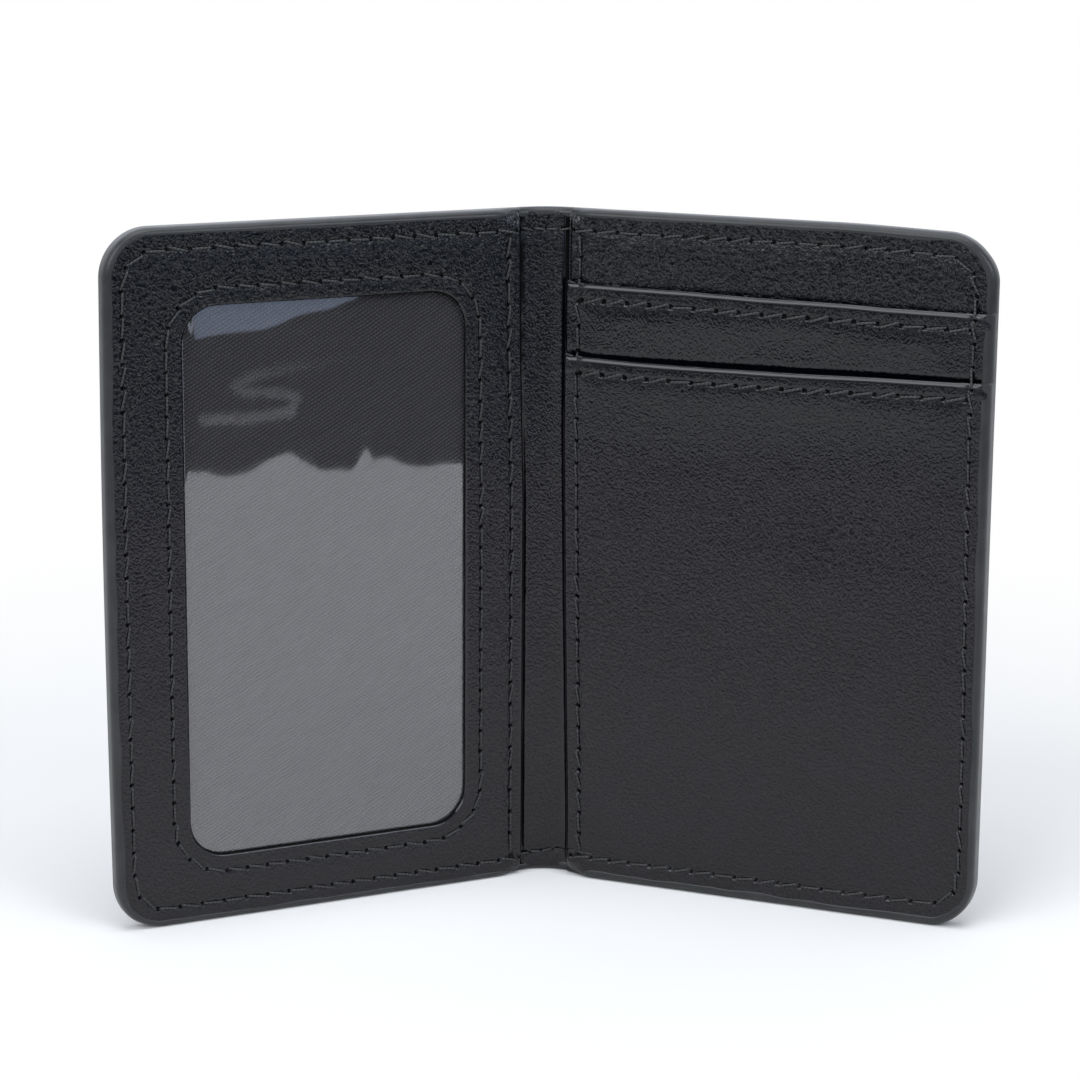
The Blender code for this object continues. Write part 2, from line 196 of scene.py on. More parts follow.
SIDE_SEAM_DRIFT = ((15.0, 25.0, 40.0, 55.0, 75.0), (0.45, 0.40, 0.15, -0.13, -0.40))
LEFT_BULGE = 0.38
RIGHT_DROOP = 0.55
FOOT_SEAM_DRIFT = (-0.3, 0.4)
EDGE_DRIFT_DEPTH = (1.0, 0.3)
EDGE_DRIFT_END = (4.0, 8.0)
MOUTH_DRIFT_BELOW = 1.0
MOUTH_DRIFT_REACH = 4.5
SIDE_SEAM_NEAR = (56.0, 6.0)
SIDE_RIM_NEAR = (65.0, 1.8)
SIDE_RIM_HELD = 0.7
BULGE_NEAR = (61.0, 6.0)
DROOP_OUT = (42.0, 24.0)
DROOP_UP = (60.0, 45.0)

# How far from its fold line a piece that crosses the fold bends with it
FOLD_REACH = 2.0

# Mesh steps, and the distance of a point that is far from every rim
CORNER_STEPS = 26
ROW_STEP = 0.9
COLUMN_STEP = 1.0
STRIP_STEP = 0.45
FILM_STEP = 0.42
EDGE_OFFSETS = np.array((0.0, 0.02, 0.06, 0.11, 0.17, 0.28, 0.45))
RIM_COLUMNS = (0.0, 0.1, 0.25, 0.45)
PANEL_COLUMNS = (0.36, 0.48, 0.7, 3.2, 3.8)
MOUTH_ROWS = (0.22, 0.34, 0.52, 0.60, 0.7, 0.8, 0.9, 1.0, 1.1, 1.2, 1.35, 1.5, 3.6, 4.1, 4.8)
RING_STEPS = {"side_steps": 90, "end_steps": 48, "corner_steps": 14}
RING_MIDDLE = 4.0
BEAD_CORNER_STEPS = 28
BEAD_END_STEPS = 60
FAR_AWAY = 9.0


def smooth(share):
    """A smooth step from 0 to 1."""
    share = np.clip(share, 0.0, 1.0)
    return share * share * (3.0 - 2.0 * share)


def set_in(value, near):
    """A smooth step from 0 to 1 that begins at a start and takes a width."""
    start, width = near
    return smooth((value - start) / width)


def pairs(first, second):
    """Two grids of numbers as one list of pairs."""
    return np.stack([first, second], axis=-1).reshape(-1, 2)


def drifted(along, height, depth):
    """Places moved by the small unevenness of the hand work."""
    side = np.sign(along)
    out = np.abs(along) - HALF_ARC
    right = smooth(along / HALF_ARC / 2.0 + 0.5)
    left_edge, right_edge = (np.interp(height, *EDGE_DRIFT[which]) for which in (LEFT, RIGHT))
    edge = np.where(along > 0, right_edge, left_edge)
    moved = edge * set_in(depth, EDGE_DRIFT_DEPTH) * (out > 0) * (1.0 - set_in(out, EDGE_DRIFT_END))
    bulge = (1.0 - right) * LEFT_BULGE * np.sin(math.pi * height / WALLET_HEIGHT)
    moved += bulge * set_in(out, BULGE_NEAR)
    at_seam = set_in(out, SIDE_SEAM_NEAR) * (1.0 - SIDE_RIM_HELD * set_in(out, SIDE_RIM_NEAR))
    moved += right * np.interp(height, *SIDE_SEAM_DRIFT) * at_seam
    raised = -RIGHT_DROOP * right * set_in(out, DROOP_OUT) * set_in(height, DROOP_UP)
    for mouth, (outs, rises) in MOUTH_DRIFT.items():
        near_mouth = np.exp(-(((height - mouth + MOUTH_DRIFT_BELOW) / MOUTH_DRIFT_REACH) ** 2))
        raised += right * np.interp(out, outs, rises) * near_mouth * (out > 0)
    near_foot = np.maximum(height, 0.0) / STITCH_BOTTOM
    foot_drift = FOOT_SEAM_DRIFT[0] + (FOOT_SEAM_DRIFT[1] - FOOT_SEAM_DRIFT[0]) * right
    raised += foot_drift * (near_foot * np.exp(1.0 - near_foot)) ** 2
    return along + side * moved, height + raised


def place(along, height, depth):
    """World points in metres of places on the wallet, given in millimetres."""
    along, height, depth = np.broadcast_arrays(
        np.asarray(along, float), np.asarray(height, float), np.asarray(depth, float)
    )
    along, height = drifted(along, height, depth)
    side = np.sign(along)
    out = np.maximum(np.abs(along) - HALF_ARC, 0.0)
    turn = side * np.minimum(np.abs(along), HALF_ARC) / SPINE_RADIUS
    radius = SPINE_RADIUS - depth
    x = radius * np.sin(turn) + side * out * math.cos(OPEN_TILT)
    y = SPINE_CENTRE_Y + radius * np.cos(turn) - out * math.sin(OPEN_TILT)
    return np.stack([x, y, height], axis=-1) * MM


def facing(along):
    """Unit vectors to the inside of the wallet at distances along the cover."""
    turn = np.clip(np.asarray(along, float) / SPINE_RADIUS, -OPEN_TILT, OPEN_TILT)
    return np.stack([-np.sin(turn), -np.cos(turn), np.zeros_like(turn)], axis=-1)


def arc(centre, radius, start, end, steps):
    """Points along a circle's arc, both ends included."""
    angles = np.linspace(start, end, steps + 1)
    return np.stack([centre[0] + radius * np.cos(angles), centre[1] + radius * np.sin(angles)], axis=-1)


def perimeter_path(start):
    """The seam round a leaf's three free sides, from the top to the bottom, as (out, height)."""
    radius = STITCH_CORNER_RADIUS
    centre = STITCH_SIDE - radius
    quarter = math.pi / 2
    return np.concatenate([
        [(start, STITCH_TOP)],
        arc((centre, STITCH_TOP - radius), radius, quarter, 0.0, CORNER_STEPS),
        arc((centre, STITCH_BOTTOM + radius), radius, 0.0, -quarter, CORNER_STEPS),
        [(start, STITCH_BOTTOM)],
    ])


def rounded_ring(low, high, fold_radius, edge_radius, side_steps, end_steps, corner_steps):
    """A closed outline with round corners, with the same number of points for any size."""
    (left, bottom), (right, top) = low, high
    quarter = math.pi / 2
    corners = (
        ((right - edge_radius, bottom + edge_radius), edge_radius, -quarter),
        ((right - edge_radius, top - edge_radius), edge_radius, 0.0),
        ((left + fold_radius, top - fold_radius), fold_radius, quarter),
        ((left + fold_radius, bottom + fold_radius), fold_radius, 2 * quarter),
    )
    arcs = [arc(centre, radius, start, start + quarter, corner_steps) for centre, radius, start in corners]
    points = []
    for here, after, steps in zip(arcs, arcs[1:] + arcs[:1], (side_steps, end_steps) * 2):
        points.append(here)
        shares = np.linspace(0.0, 1.0, steps + 1)[1:-1, None]
        points.append(here[-1] + (after[0] - here[-1]) * shares)
    return np.concatenate(points)


def window_ring(offset):
    """The window's outline, moved outwards by an offset."""
    low = (WINDOW_FROM_FOLD - offset, WINDOW_FROM_BOTTOM - offset)
    high = (FOLD_TO_EDGE - WINDOW_FROM_SIDE + offset, WALLET_HEIGHT - WINDOW_FROM_TOP + offset)
    radius = WINDOW_CORNER_RADIUS + offset
    return rounded_ring(low, high, radius, radius, **RING_STEPS)


def lengths_along(path):
    """Distance run at each point of a path."""
    steps = np.linalg.norm(np.diff(path, axis=0), axis=1)
    return np.concatenate([[0.0], np.cumsum(steps)])


def even_points(path, pitch, closed=False):
    """Points at even steps of about one pitch along a path."""
    if closed:
        path = np.concatenate([path, path[:1]])
    run = lengths_along(path)
    count = max(1, round(run[-1] / pitch))
    at = np.linspace(0.0, run[-1], count + 1)
    if closed:
        at = at[:-1]
    return np.stack([np.interp(at, run, path[:, axis]) for axis in range(2)], axis=-1)


def nearest_seam(points, paths):
    """Distance from each point to the nearest seam, and how far along that seam in pitches."""
    gap = np.full(len(points), 1e3)
    run = np.zeros(len(points))
    for path, closed in paths:
        if closed:
            path = np.concatenate([path, path[:1]])
        lengths = lengths_along(path)
        wanted = WINDOW_STITCH_PITCH if closed else STITCH_PITCH
        pitch = lengths[-1] / max(1, round(lengths[-1] / wanted))
        for start, end, begun in zip(path, path[1:], lengths):
            span = end - start
            size = np.linalg.norm(span)
            if size < 1e-9:
                continue
            share = np.clip((points - start) @ span / size ** 2, 0.0, 1.0)
            away = np.linalg.norm(points - start - share[:, None] * span, axis=1)
            nearer = away < gap
            gap = np.where(nearer, away, gap)
            run = np.where(nearer, (begun + share * size) / pitch, run)
    return gap, run


def groove(gap):
    """How far a seam draws the leather in: a narrow groove within a wide, soft one."""
    narrow = GROOVE_DEPTH * np.exp(-((gap / GROOVE_WIDTH) ** 2))
    return narrow + PUFF_DEPTH * np.exp(-((gap / PUFF_WIDTH) ** 2))


def drawn_in(along, height, seams):
    """How far the seams draw the leather in at each point of a grid."""
    gap, _ = nearest_seam(pairs(along, height), seams)
    return groove(gap).reshape(along.shape)


def pillow(rim):
    """How far the leather sinks towards a sewn-down rim."""
    return PILLOW_DEPTH * np.exp(-((rim / PILLOW_WIDTH) ** 2))


def thinned(out, height, start, face):
    """How far a leaf's plies are pressed down at their corners beside the spine."""
    near = 1.0 - smooth((out - start) / THIN_REACH)
    end = 1.0 - smooth(np.minimum(height, WALLET_HEIGHT - height) / THIN_HEIGHT)
    return THIN_SHARE * (face - STRIP_FACE) * near * end


def rounding(gap, radius):
    """How far a rounded rim falls away, at a distance from the rim."""
    inner = np.clip(radius - gap, 0.0, radius)
    return radius - np.sqrt(np.maximum(radius ** 2 - inner ** 2, 0.0))


def free_rim(out, height):
    """Distance in from the leather's rim on a leaf's three free sides."""
    radius = CORNER_RADIUS - UNDER_PAINT
    side = FOLD_TO_EDGE - UNDER_PAINT - out
    end = np.minimum(height, WALLET_HEIGHT - height) - UNDER_PAINT
    corner = radius - np.hypot(radius - side, radius - end)
    return np.where((side < radius) & (end < radius), corner, np.minimum(side, end))


def under_nose(rim):
    """How far the leather is pared down under the round nose of the edge paint."""
    share = np.clip(1.0 - (rim + UNDER_PAINT) / PAINT_NOSE[0], 0.0, 1.0)
    return PAINT_NOSE[1] * (1.0 - np.sqrt(1.0 - share ** 2))


def add_object(name, data):
    """An object of a mesh, a lamp or a camera, placed in the scene."""
    obj = bpy.data.objects.new(name, data)
    bpy.context.scene.collection.objects.link(obj)
    return obj


def make_object(name, points, faces, materials, flat=None, seam=None, cut=None):
    """A mesh object from points in metres, with its flat pattern as a UV map.

    seam holds three numbers for each point: the distance to the nearest seam, how far along it in
    pitches, and the share of the grain. cut tells for each face whether it takes the second material.
    """
    mesh = bpy.data.meshes.new(name)
    mesh.from_pydata(points.tolist(), [], faces.tolist() if hasattr(faces, "tolist") else faces)
    for material in materials:
        mesh.materials.append(material)
    if cut is not None:
        mesh.polygons.foreach_set("material_index", np.asarray(cut, np.int32).ravel())
    mesh.validate()
    if flat is not None:
        corner = np.zeros(len(mesh.loops), np.int32)
        mesh.loops.foreach_get("vertex_index", corner)
        layer = mesh.uv_layers.new(name="flat")
        layer.data.foreach_set("uv", flat[corner].astype(np.float32).ravel())
    if seam is not None:
        for label, values in zip(("seam_gap", "seam_run", "grain"), seam):
            attribute = mesh.attributes.new(label, "FLOAT", "POINT")
            attribute.data.foreach_set("value", np.minimum(values, 1e3).astype(np.float32))
    mesh.shade_smooth()
    mesh.set_sharp_from_angle(angle=math.radians(50))
    return add_object(name, mesh)


def grid_faces(rows, columns):
    """Quads of a grid of points, facing the inside of the wallet on the right leaf."""
    index = np.arange(rows * columns).reshape(rows, columns)
    corners = [index[:-1, :-1], index[:-1, 1:], index[1:, 1:], index[1:, :-1]]
    return np.stack(corners, axis=-1).reshape(-1, 4)


def slab(name, side, along, height, front, back, materials, seams=(), grain=None, shade_columns=None):
    """A closed ply between two grids of one pattern, front to the inside and back to the outside.

    A second material goes on the wall beside the spine and, as painted crease shade, on the columns marked
    for it. grain is the share of the leather's grain that shows.
    """
    rows, columns = along.shape
    count = rows * columns
    points = np.concatenate([
        place(side * along, height, front).reshape(-1, 3),
        place(side * along, height, back).reshape(-1, 3),
    ])
    faces = grid_faces(rows, columns)
    index = np.arange(count).reshape(rows, columns)
    rim = np.concatenate([index[0, :-1], index[:-1, -1], index[-1, :0:-1], index[:0:-1, 0]])
    after = np.roll(rim, -1)
    walls = np.stack([after, rim, rim + count, after + count], axis=-1)
    faces = np.concatenate([faces, (faces + count)[:, ::-1], walls])
    if side == LEFT:
        faces = faces[:, ::-1]
    flat = pairs(side * along, height)
    gap, run = nearest_seam(pairs(along, height), seams)
    grain = np.interp(height, *GRAIN_BY_HEIGHT[side]) * (1.0 if grain is None else grain)
    seam = (np.tile(gap, 2), np.tile(run, 2), np.tile(grain.ravel(), 2))
    cut = None
    if len(materials) > 1:
        # the wall beside the spine takes the dark cut-edge finish: its own colour and painted shade in the
        # crease beside the spine strip
        cut = np.arange(len(faces)) > len(faces) - rows
        if shade_columns is not None:
            cut[:(rows - 1) * (columns - 1)] = np.tile(shade_columns, rows - 1)
    return make_object(name, points, faces, materials, np.tile(flat, (2, 1)), seam, cut)


def steps_between(start, end, step):
    """Even steps between two values, without its ends."""
    count = max(1, math.ceil((end - start) / step))
    return np.linspace(start, end, count + 1)[1:-1]


def leaf_grid(start, inset, low, high, near, far, round_low=True, round_high=True,
              low_rows=(), high_rows=(), extra_rows=()):
    """Rows and columns over a leaf, with round outer corners.

    near and far are the columns' distances from the panel's start and from its outer edge. An end that
    isn't round is straight, with rows at the given distances from it.
    Gives along and height of each point, and its distance from the panel's rim.
    """
    outer = HALF_ARC + FOLD_TO_EDGE - inset
    radius = CORNER_RADIUS - inset
    turns = np.linspace(0.0, math.pi / 2, CORNER_STEPS + 1)
    swept = radius * (1.0 - np.cos(turns))
    low_part = low + (swept if round_low else np.asarray(low_rows))
    high_part = high - (swept if round_high else np.asarray(high_rows))
    heights = column_set(
        low_part, steps_between(low_part[-1], high_part[-1], ROW_STEP), high_part[::-1], extra_rows
    )
    from_low = np.where(round_low, np.clip(radius - (heights - low), 0.0, radius), 0.0)
    from_high = np.where(round_high, np.clip(radius - (high - heights), 0.0, radius), 0.0)
    lost = radius - np.sqrt(np.maximum(radius ** 2 - np.maximum(from_low, from_high) ** 2, 0.0))
    ends = outer - lost
    near = np.asarray(near)
    far = np.asarray(far)[::-1]
    middle = steps_between(0.0, 1.0, COLUMN_STEP / (outer - start - near[-1] - far[0]))
    inner_start = start + near[-1]
    rows = [
        np.concatenate([start + near, inner_start + (end - far[0] - inner_start) * middle, end - far])
        for end in ends
    ]
    along = np.array(rows)
    height = np.repeat(heights[:, None], along.shape[1], axis=1)
    rim = np.minimum.reduce([along - start, height - low, high - height, outer - along])
    for is_round, centre_height, way in ((round_low, low + radius, -1), (round_high, high - radius, 1)):
        if is_round:
            beyond = ((height - centre_height) * way > 0) & (along > outer - radius)
            corner = radius - np.hypot(along - (outer - radius), height - centre_height)
            rim = np.where(beyond, np.minimum(rim, corner), rim)
    return along, height, np.maximum(rim, 0.0)


def dense_near(value, reach=1.0, step=0.16):
    """Distances on both sides of a seam, close enough together for its groove."""
    return np.arange(value - reach, value + reach + step / 2, step)


def column_set(*groups):
    """Distances sorted, without near doubles."""
    values = np.sort(np.concatenate([np.asarray(group, float) for group in groups]))
    kept = [values[0]]
    for value in values[1:]:
        if value - kept[-1] > 0.015:
            kept.append(value)
    return np.array(kept)


class Nodes:
    """A node tree, built by short calls. A node's kind may be named without its family."""

    family = "ShaderNode"

    def __init__(self, tree):
        self.tree = tree

    def fill(self, node, inputs):
        """Link a node's inputs to sockets, or set their values."""
        for key, value in inputs.items():
            if isinstance(value, bpy.types.NodeSocket):
                self.tree.links.new(value, node.inputs[key])
            else:
                node.inputs[key].default_value = value

    def add(self, kind, inputs=(), output=0, **settings):
        """A node with its settings and inputs; gives one of its outputs."""
        node = self.tree.nodes.new(kind if "Node" in kind else self.family + kind)
        for key, value in settings.items():
            setattr(node, key, value)
        self.fill(node, dict(inputs))
        return node.outputs[output]

    def math(self, operation, first, second=0.0, third=0.0):
        """A sum, product or other operation on up to three values."""
        return self.add("ShaderNodeMath", {0: first, 1: second, 2: third}, operation=operation)

    def remap(self, value, low, high):
        """A smooth step from 0 at one value to 1 at another."""
        inputs = {"Value": value, "From Min": low, "From Max": high}
        return self.add("MapRange", inputs, interpolation_type="SMOOTHSTEP")

    def blend(self, factor, first, second):
        """A mix of two colours."""
        return self.add("Mix", {0: factor, 6: first, 7: second}, 2, data_type="RGBA")

    def split(self, vector):
        """The three parts of a vector."""
        return self.add("SeparateXYZ", {0: vector}).node.outputs


class Finish(Nodes):
    """A material, built by short calls."""

    def __init__(self, name):
        self.material = bpy.data.materials.new(name)
        self.material.use_nodes = True
        super().__init__(self.material.node_tree)
        self.shader = self.tree.nodes["Principled BSDF"]
        self.output = self.tree.nodes["Material Output"]

    def flat_pattern(self):
        """The piece's flat pattern in millimetres."""
        return self.add("UVMap", {}, uv_map="flat")

    def attribute(self, name):
        """A number that the mesh carries."""
        return self.add("Attribute", {}, "Fac", attribute_name=name)

    def noise(self, vector, scale, detail=2.0, roughness=0.5, output="Fac", dimensions="2D"):
        inputs = {"Vector": vector, "Scale": scale, "Detail": detail, "Roughness": roughness}
        return self.add("TexNoise", inputs, output, noise_dimensions=dimensions)

    def bump(self, height, distance, strength=1.0, normal=None):
        """The surface's direction over a relief, on top of another if one is given."""
        inputs = {"Height": height, "Distance": distance, "Strength": strength}
        if normal is not None:
            inputs["Normal"] = normal
        return self.add("Bump", inputs)

    def surface(self, inputs):
        """Fill the main shader's sockets."""
        self.fill(self.shader, inputs)
        return self.material

    def show(self, shader):
        """Let the surface show another shader than the main one."""
        self.tree.links.new(shader, self.output.inputs["Surface"])
        return self.material


def grey(value, blue=0.0):
    """A near-neutral colour, a little cooler with blue above zero."""
    return (value * (1.0 - blue), value, value * (1.0 + 2.0 * blue), 1.0)


def leather_finish(name):
    """Fine pebbled leather: soft grains about 0.4 mm wide, with a dent at each needle hole. Painted shade:
    the colour darkens between the grains and along the seams and is darker and cooler towards the wallet's
    head, and the gloss is dimmed on the grains' upward slopes as if shaded from light above.
    """
    finish = Finish(name)
    flat = finish.flat_pattern()
    warp = finish.noise(flat, 1.1, 1.0, 0.5, "Color")
    centred = finish.add("VectorMath", {0: warp, 1: (0.5, 0.5, 0.5)}, operation="SUBTRACT")
    shift = finish.add("VectorMath", {0: centred, "Scale": 0.9}, operation="SCALE")
    bent = finish.add("VectorMath", {0: flat, 1: shift}, operation="ADD")
    stretched = finish.add(
        "Mapping", {"Vector": bent, "Rotation": (0.0, 0.0, math.radians(12)), "Scale": (3.0, 2.5, 1.0)}
    )
    grain_shape = {"scale": 1.0, "detail": 0.3, "roughness": 0.45}
    grains = finish.noise(stretched, **grain_shape)
    higher = finish.add("VectorMath", {0: stretched, 1: (0.0, 0.45, 0.0)}, operation="ADD")
    facing_up = finish.math("SUBTRACT", grains, finish.noise(higher, **grain_shape))
    between = finish.remap(grains, 0.44, 0.28)
    shown = finish.attribute("grain")
    gap = finish.attribute("seam_gap")
    run = finish.attribute("seam_run")
    beside = finish.remap(gap, 0.50, 0.0)
    to_hole = finish.math("PINGPONG", run, 0.5)
    dimple = finish.math("MULTIPLY", beside, finish.remap(to_hole, 0.16, 0.0))
    broad = finish.noise(flat, 0.14, 2.0, 0.5)
    depth = finish.math("MULTIPLY", shown, GRAIN_DEPTH * MM)
    normal = finish.bump(grains, depth, 1.0)
    normal = finish.bump(finish.math("MULTIPLY", dimple, -1.0), 0.00024, 1.0, normal)
    normal = finish.bump(broad, 0.00030, 0.5, normal)
    _, up, _ = finish.split(flat)
    patchy = finish.remap(broad, 0.3, 0.7)
    tone = finish.blend(patchy, (0.0036, 0.0024, 0.0048, 1.0), (0.0050, 0.0034, 0.0064, 1.0))
    # painted shade: the colour is darker and cooler towards the wallet's head, standing for the darker light
    # there
    tone = finish.blend(finish.remap(up, 55.0, 88.0), tone, (0.0016, 0.0022, 0.0036, 1.0))
    # painted shade: the colour darkens in the crevices between the grains
    tone = finish.blend(between, tone, (0.0006, 0.0006, 0.0010, 1.0))
    # painted shade: the colour darkens in the grooves along the seams
    tone = finish.blend(finish.math("MULTIPLY", beside, 0.7), tone, (0.0010, 0.0010, 0.0016, 1.0))
    rough = finish.math("MULTIPLY_ADD", broad, 0.05, 0.12)
    # painted shade: the gloss is dimmed on the grains' upward slopes, as if shaded from light above
    painted_slope_shade = finish.math("MULTIPLY", finish.remap(facing_up, -0.13, 0.13), shown)
    painted_slope_gloss = finish.blend(painted_slope_shade, grey(1.0), grey(0.28))
    return finish.surface({
        "Base Color": tone, "Roughness": rough, "Normal": normal, "IOR": 1.49, "Specular Tint": painted_slope_gloss,
    })


def cut_edge_and_shade_finish():
    """The leather's dark cut edge, nearly without gloss: partly its own colour, partly painted shade where
    it stands in a crease or at the window's edge, and wholly painted shade where it lies in the spine
    strip's dip.
    """
    finish = Finish("cut_leather_edge")
    flat = finish.flat_pattern()
    fibre = finish.noise(flat, 6.0, 2.0, 0.6)
    tone = finish.blend(fibre, grey(0.0010), grey(0.0034))
    normal = finish.bump(fibre, 0.00003, 0.6)
    return finish.surface({
        "Base Color": tone, "Roughness": 0.7, "Normal": normal, "Specular IOR Level": 0.06,
    })


def paint_finish():
    """Rubbery edge paint, smooth with faint ripples and scuffs."""
    finish = Finish("edge_coat")
    place_on = finish.add("TexCoord", {}, "Object")
    ripple = finish.noise(place_on, 260.0, 3.0, 0.55, dimensions="3D")
    fine = finish.noise(place_on, 2600.0, 2.0, 0.6, dimensions="3D")
    height = finish.math("MULTIPLY_ADD", fine, 0.12, ripple)
    tone = finish.blend(finish.remap(ripple, 0.35, 0.7), grey(0.018, 0.03), grey(0.026, 0.03))
    rough = finish.math("MULTIPLY_ADD", ripple, 0.16, 0.26)
    normal = finish.bump(height, 0.00018, 0.6)
    return finish.surface({"Base Color": tone, "Roughness": rough, "Normal": normal, "IOR": 1.42})


def thread_finish():
    """Waxed twisted thread; its twist follows the length of each stitch and the turn round it."""
    finish = Finish("waxed_thread")
    run = finish.attribute("thread_run")
    turn = finish.attribute("thread_turn")
    phase = finish.math("MULTIPLY_ADD", run, 5.0, turn)
    ply = finish.math("PINGPONG", phase, 0.5)
    place_on = finish.add("TexCoord", {}, "Object")
    fuzz = finish.noise(place_on, 9000.0, 2.0, 0.6, dimensions="3D")
    height = finish.math("MULTIPLY_ADD", fuzz, 0.2, ply)
    tone = finish.blend(finish.remap(ply, 0.05, 0.4), grey(0.003), grey(0.034, 0.042))
    normal = finish.bump(height, 0.00012, 1.0)
    return finish.surface({"Base Color": tone, "Roughness": 0.33, "Normal": normal, "Sheen Weight": 0.05})


def hole_shade_finish():
    """Painted shade: a near-black finish with almost no gloss for the small flattened shapes that stand for
    the shade inside each needle hole and under each thread.
    """
    finish = Finish("needle_hole")
    place_on = finish.add("TexCoord", {}, "Object")
    fibre = finish.noise(place_on, 7000.0, 2.0, 0.6, dimensions="3D")
    tone = finish.blend(fibre, grey(0.0008), grey(0.003))
    return finish.surface({"Base Color": tone, "Roughness": 0.95, "Specular IOR Level": 0.1})


def twill_finish():
    """Lining twill: ribs that rise to the right, each rib broken into short yarns."""
    finish = Finish("twill")
    flat = finish.flat_pattern()
    wander = finish.noise(flat, 0.25, 2.0, 0.5)
    turned = finish.add("Mapping", {"Vector": flat, "Rotation": (0.0, 0.0, math.radians(-29))})
    along, across, _ = finish.split(turned)
    rib_count = finish.math("DIVIDE", finish.math("MULTIPLY_ADD", wander, 0.35, across), TWILL_RIB)
    rib = finish.math("PINGPONG", rib_count, 0.5)
    rib_index = finish.math("FLOOR", rib_count)
    yarn_run = finish.math("MULTIPLY_ADD", rib_index, 0.37, finish.math("DIVIDE", along, TWILL_YARN))
    yarn = finish.math("PINGPONG", yarn_run, 0.5)
    fuzz = finish.noise(flat, 9.0, 2.0, 0.6)
    ridge = finish.remap(rib, 0.04, 0.42)
    bead = finish.remap(yarn, 0.0, 0.30)
    height = finish.math("MULTIPLY", ridge, finish.math("MULTIPLY_ADD", bead, 0.60, 0.40))
    height = finish.math("MULTIPLY_ADD", fuzz, 0.15, height)
    tone = finish.blend(height, (0.006, 0.005, 0.0055, 1.0), (0.068, 0.062, 0.067, 1.0))
    normal = finish.bump(height, 0.00012, 0.9)
    return finish.surface({"Base Color": tone, "Roughness": 0.8, "Normal": normal, "Sheen Weight": 0.1})


def board_finish():
    """Pressed grey board, seen only at its edges when the wallet is taken apart."""
    finish = Finish("pressed_board")
    place_on = finish.add("TexCoord", {}, "Object")
    fibre = finish.noise(place_on, 1800.0, 4.0, 0.7, dimensions="3D")
    tone = finish.blend(fibre, (0.30, 0.27, 0.23, 1.0), (0.48, 0.45, 0.40, 1.0))
    return finish.surface({"Base Color": tone, "Roughness": 0.9, "Normal": finish.bump(fibre, 0.00005, 0.6)})


def film_finish():
    """Clear plastic film. Lamps reach the lining through it."""
    finish = Finish("clear_window_film")
    flat = finish.flat_pattern()
    haze = finish.noise(flat, 0.5, 3.0, 0.6)
    rough = finish.math("MULTIPLY_ADD", haze, 0.03, 0.01)
    gap = finish.attribute("seam_gap")
    run = finish.attribute("seam_run")
    ragged = finish.math("MULTIPLY_ADD", finish.noise(flat, 0.8, 3.0, 0.6), 0.9, gap)
    smear = finish.math("MULTIPLY", finish.remap(ragged, 2.2, 0.6), finish.remap(run, 15.5, 7.0))
    rough = finish.math("MULTIPLY_ADD", smear, 0.12, rough)
    finish.surface({
        "Base Color": (0.93, 0.94, 0.95, 1.0), "Roughness": rough, "IOR": 1.75, "Transmission Weight": 1.0,
    })
    shadow = finish.add("LightPath", {}, "Is Shadow Ray")
    clear = finish.add("BsdfTransparent", {"Color": (0.85, 0.86, 0.87, 1.0)})
    return finish.show(finish.add("MixShader", {0: shadow, 1: finish.shader.outputs[0], 2: clear}))


LEATHER = leather_finish("pebbled_leather")
CUT_EDGE_AND_SHADE = cut_edge_and_shade_finish()
PAINT = paint_finish()
THREAD = thread_finish()
HOLE_SHADE = hole_shade_finish()
TWILL = twill_finish()
BOARD = board_finish()
FILM = film_finish()


def straight(start, end):
    """A straight path between two places."""
    return np.array([start, end], float)


def upright_seam(out):
    """The path of a seam beside the spine."""
    return straight((out, STITCH_TOP - UPRIGHT_SEAM_INSET), (out, STITCH_BOTTOM + UPRIGHT_SEAM_INSET))


def mouth_seam(mouth):
    """The path of the seam below a pocket's mouth."""
    height = mouth - MOUTH_STITCH_DROP
    start = RIGHT_EDGE_SEAM_OUT + MOUTH_SEAM_INSET
    return straight((start, height), (STITCH_SIDE - MOUTH_SEAM_INSET, height))


# Seams, each as the path that its thread follows on a leaf, in (out, height)
LEFT_EDGE_SEAM_OUT = WINDOW_PANEL_START + EDGE_STITCH_OFFSET[LEFT]
RIGHT_EDGE_SEAM_OUT = POCKET_START + EDGE_STITCH_OFFSET[RIGHT]
LEFT_PERIMETER = perimeter_path(WINDOW_PANEL_START + SEAM_START)
RIGHT_PERIMETER = perimeter_path(BACK_PANEL_START + SEAM_START)
WINDOW_SEAM = window_ring(WINDOW_STITCH_OFFSET)
LEFT_EDGE_SEAM = upright_seam(LEFT_EDGE_SEAM_OUT)
RIGHT_EDGE_SEAM = upright_seam(RIGHT_EDGE_SEAM_OUT)
UPPER_MOUTH_SEAM = mouth_seam(UPPER_MOUTH)
LOWER_MOUTH_SEAM = mouth_seam(LOWER_MOUTH)
SEAM_NEAR = dense_near(2.0, 1.1)
PERIMETER_FAR = dense_near(FOLD_TO_EDGE - UNDER_PAINT - STITCH_SIDE)


def on_cover(path, closed=False):
    """A leaf's seam path measured from the middle of the spine."""
    return path + np.array([HALF_ARC, 0.0]), closed


def outside_seam():
    """The seam on the wallet's outside, from the middle of the spine round a leaf and back."""
    round_leaf, _ = on_cover(perimeter_path(1.0))
    return np.concatenate([[(0.0, STITCH_TOP)], round_leaf, [(0.0, STITCH_BOTTOM)]]), False


def spine_seams(end):
    """The two seams across one half of the spine, from its middle to an end."""
    return [(straight((0.0, at), (end, at)), False) for at in (STITCH_TOP, STITCH_BOTTOM)]


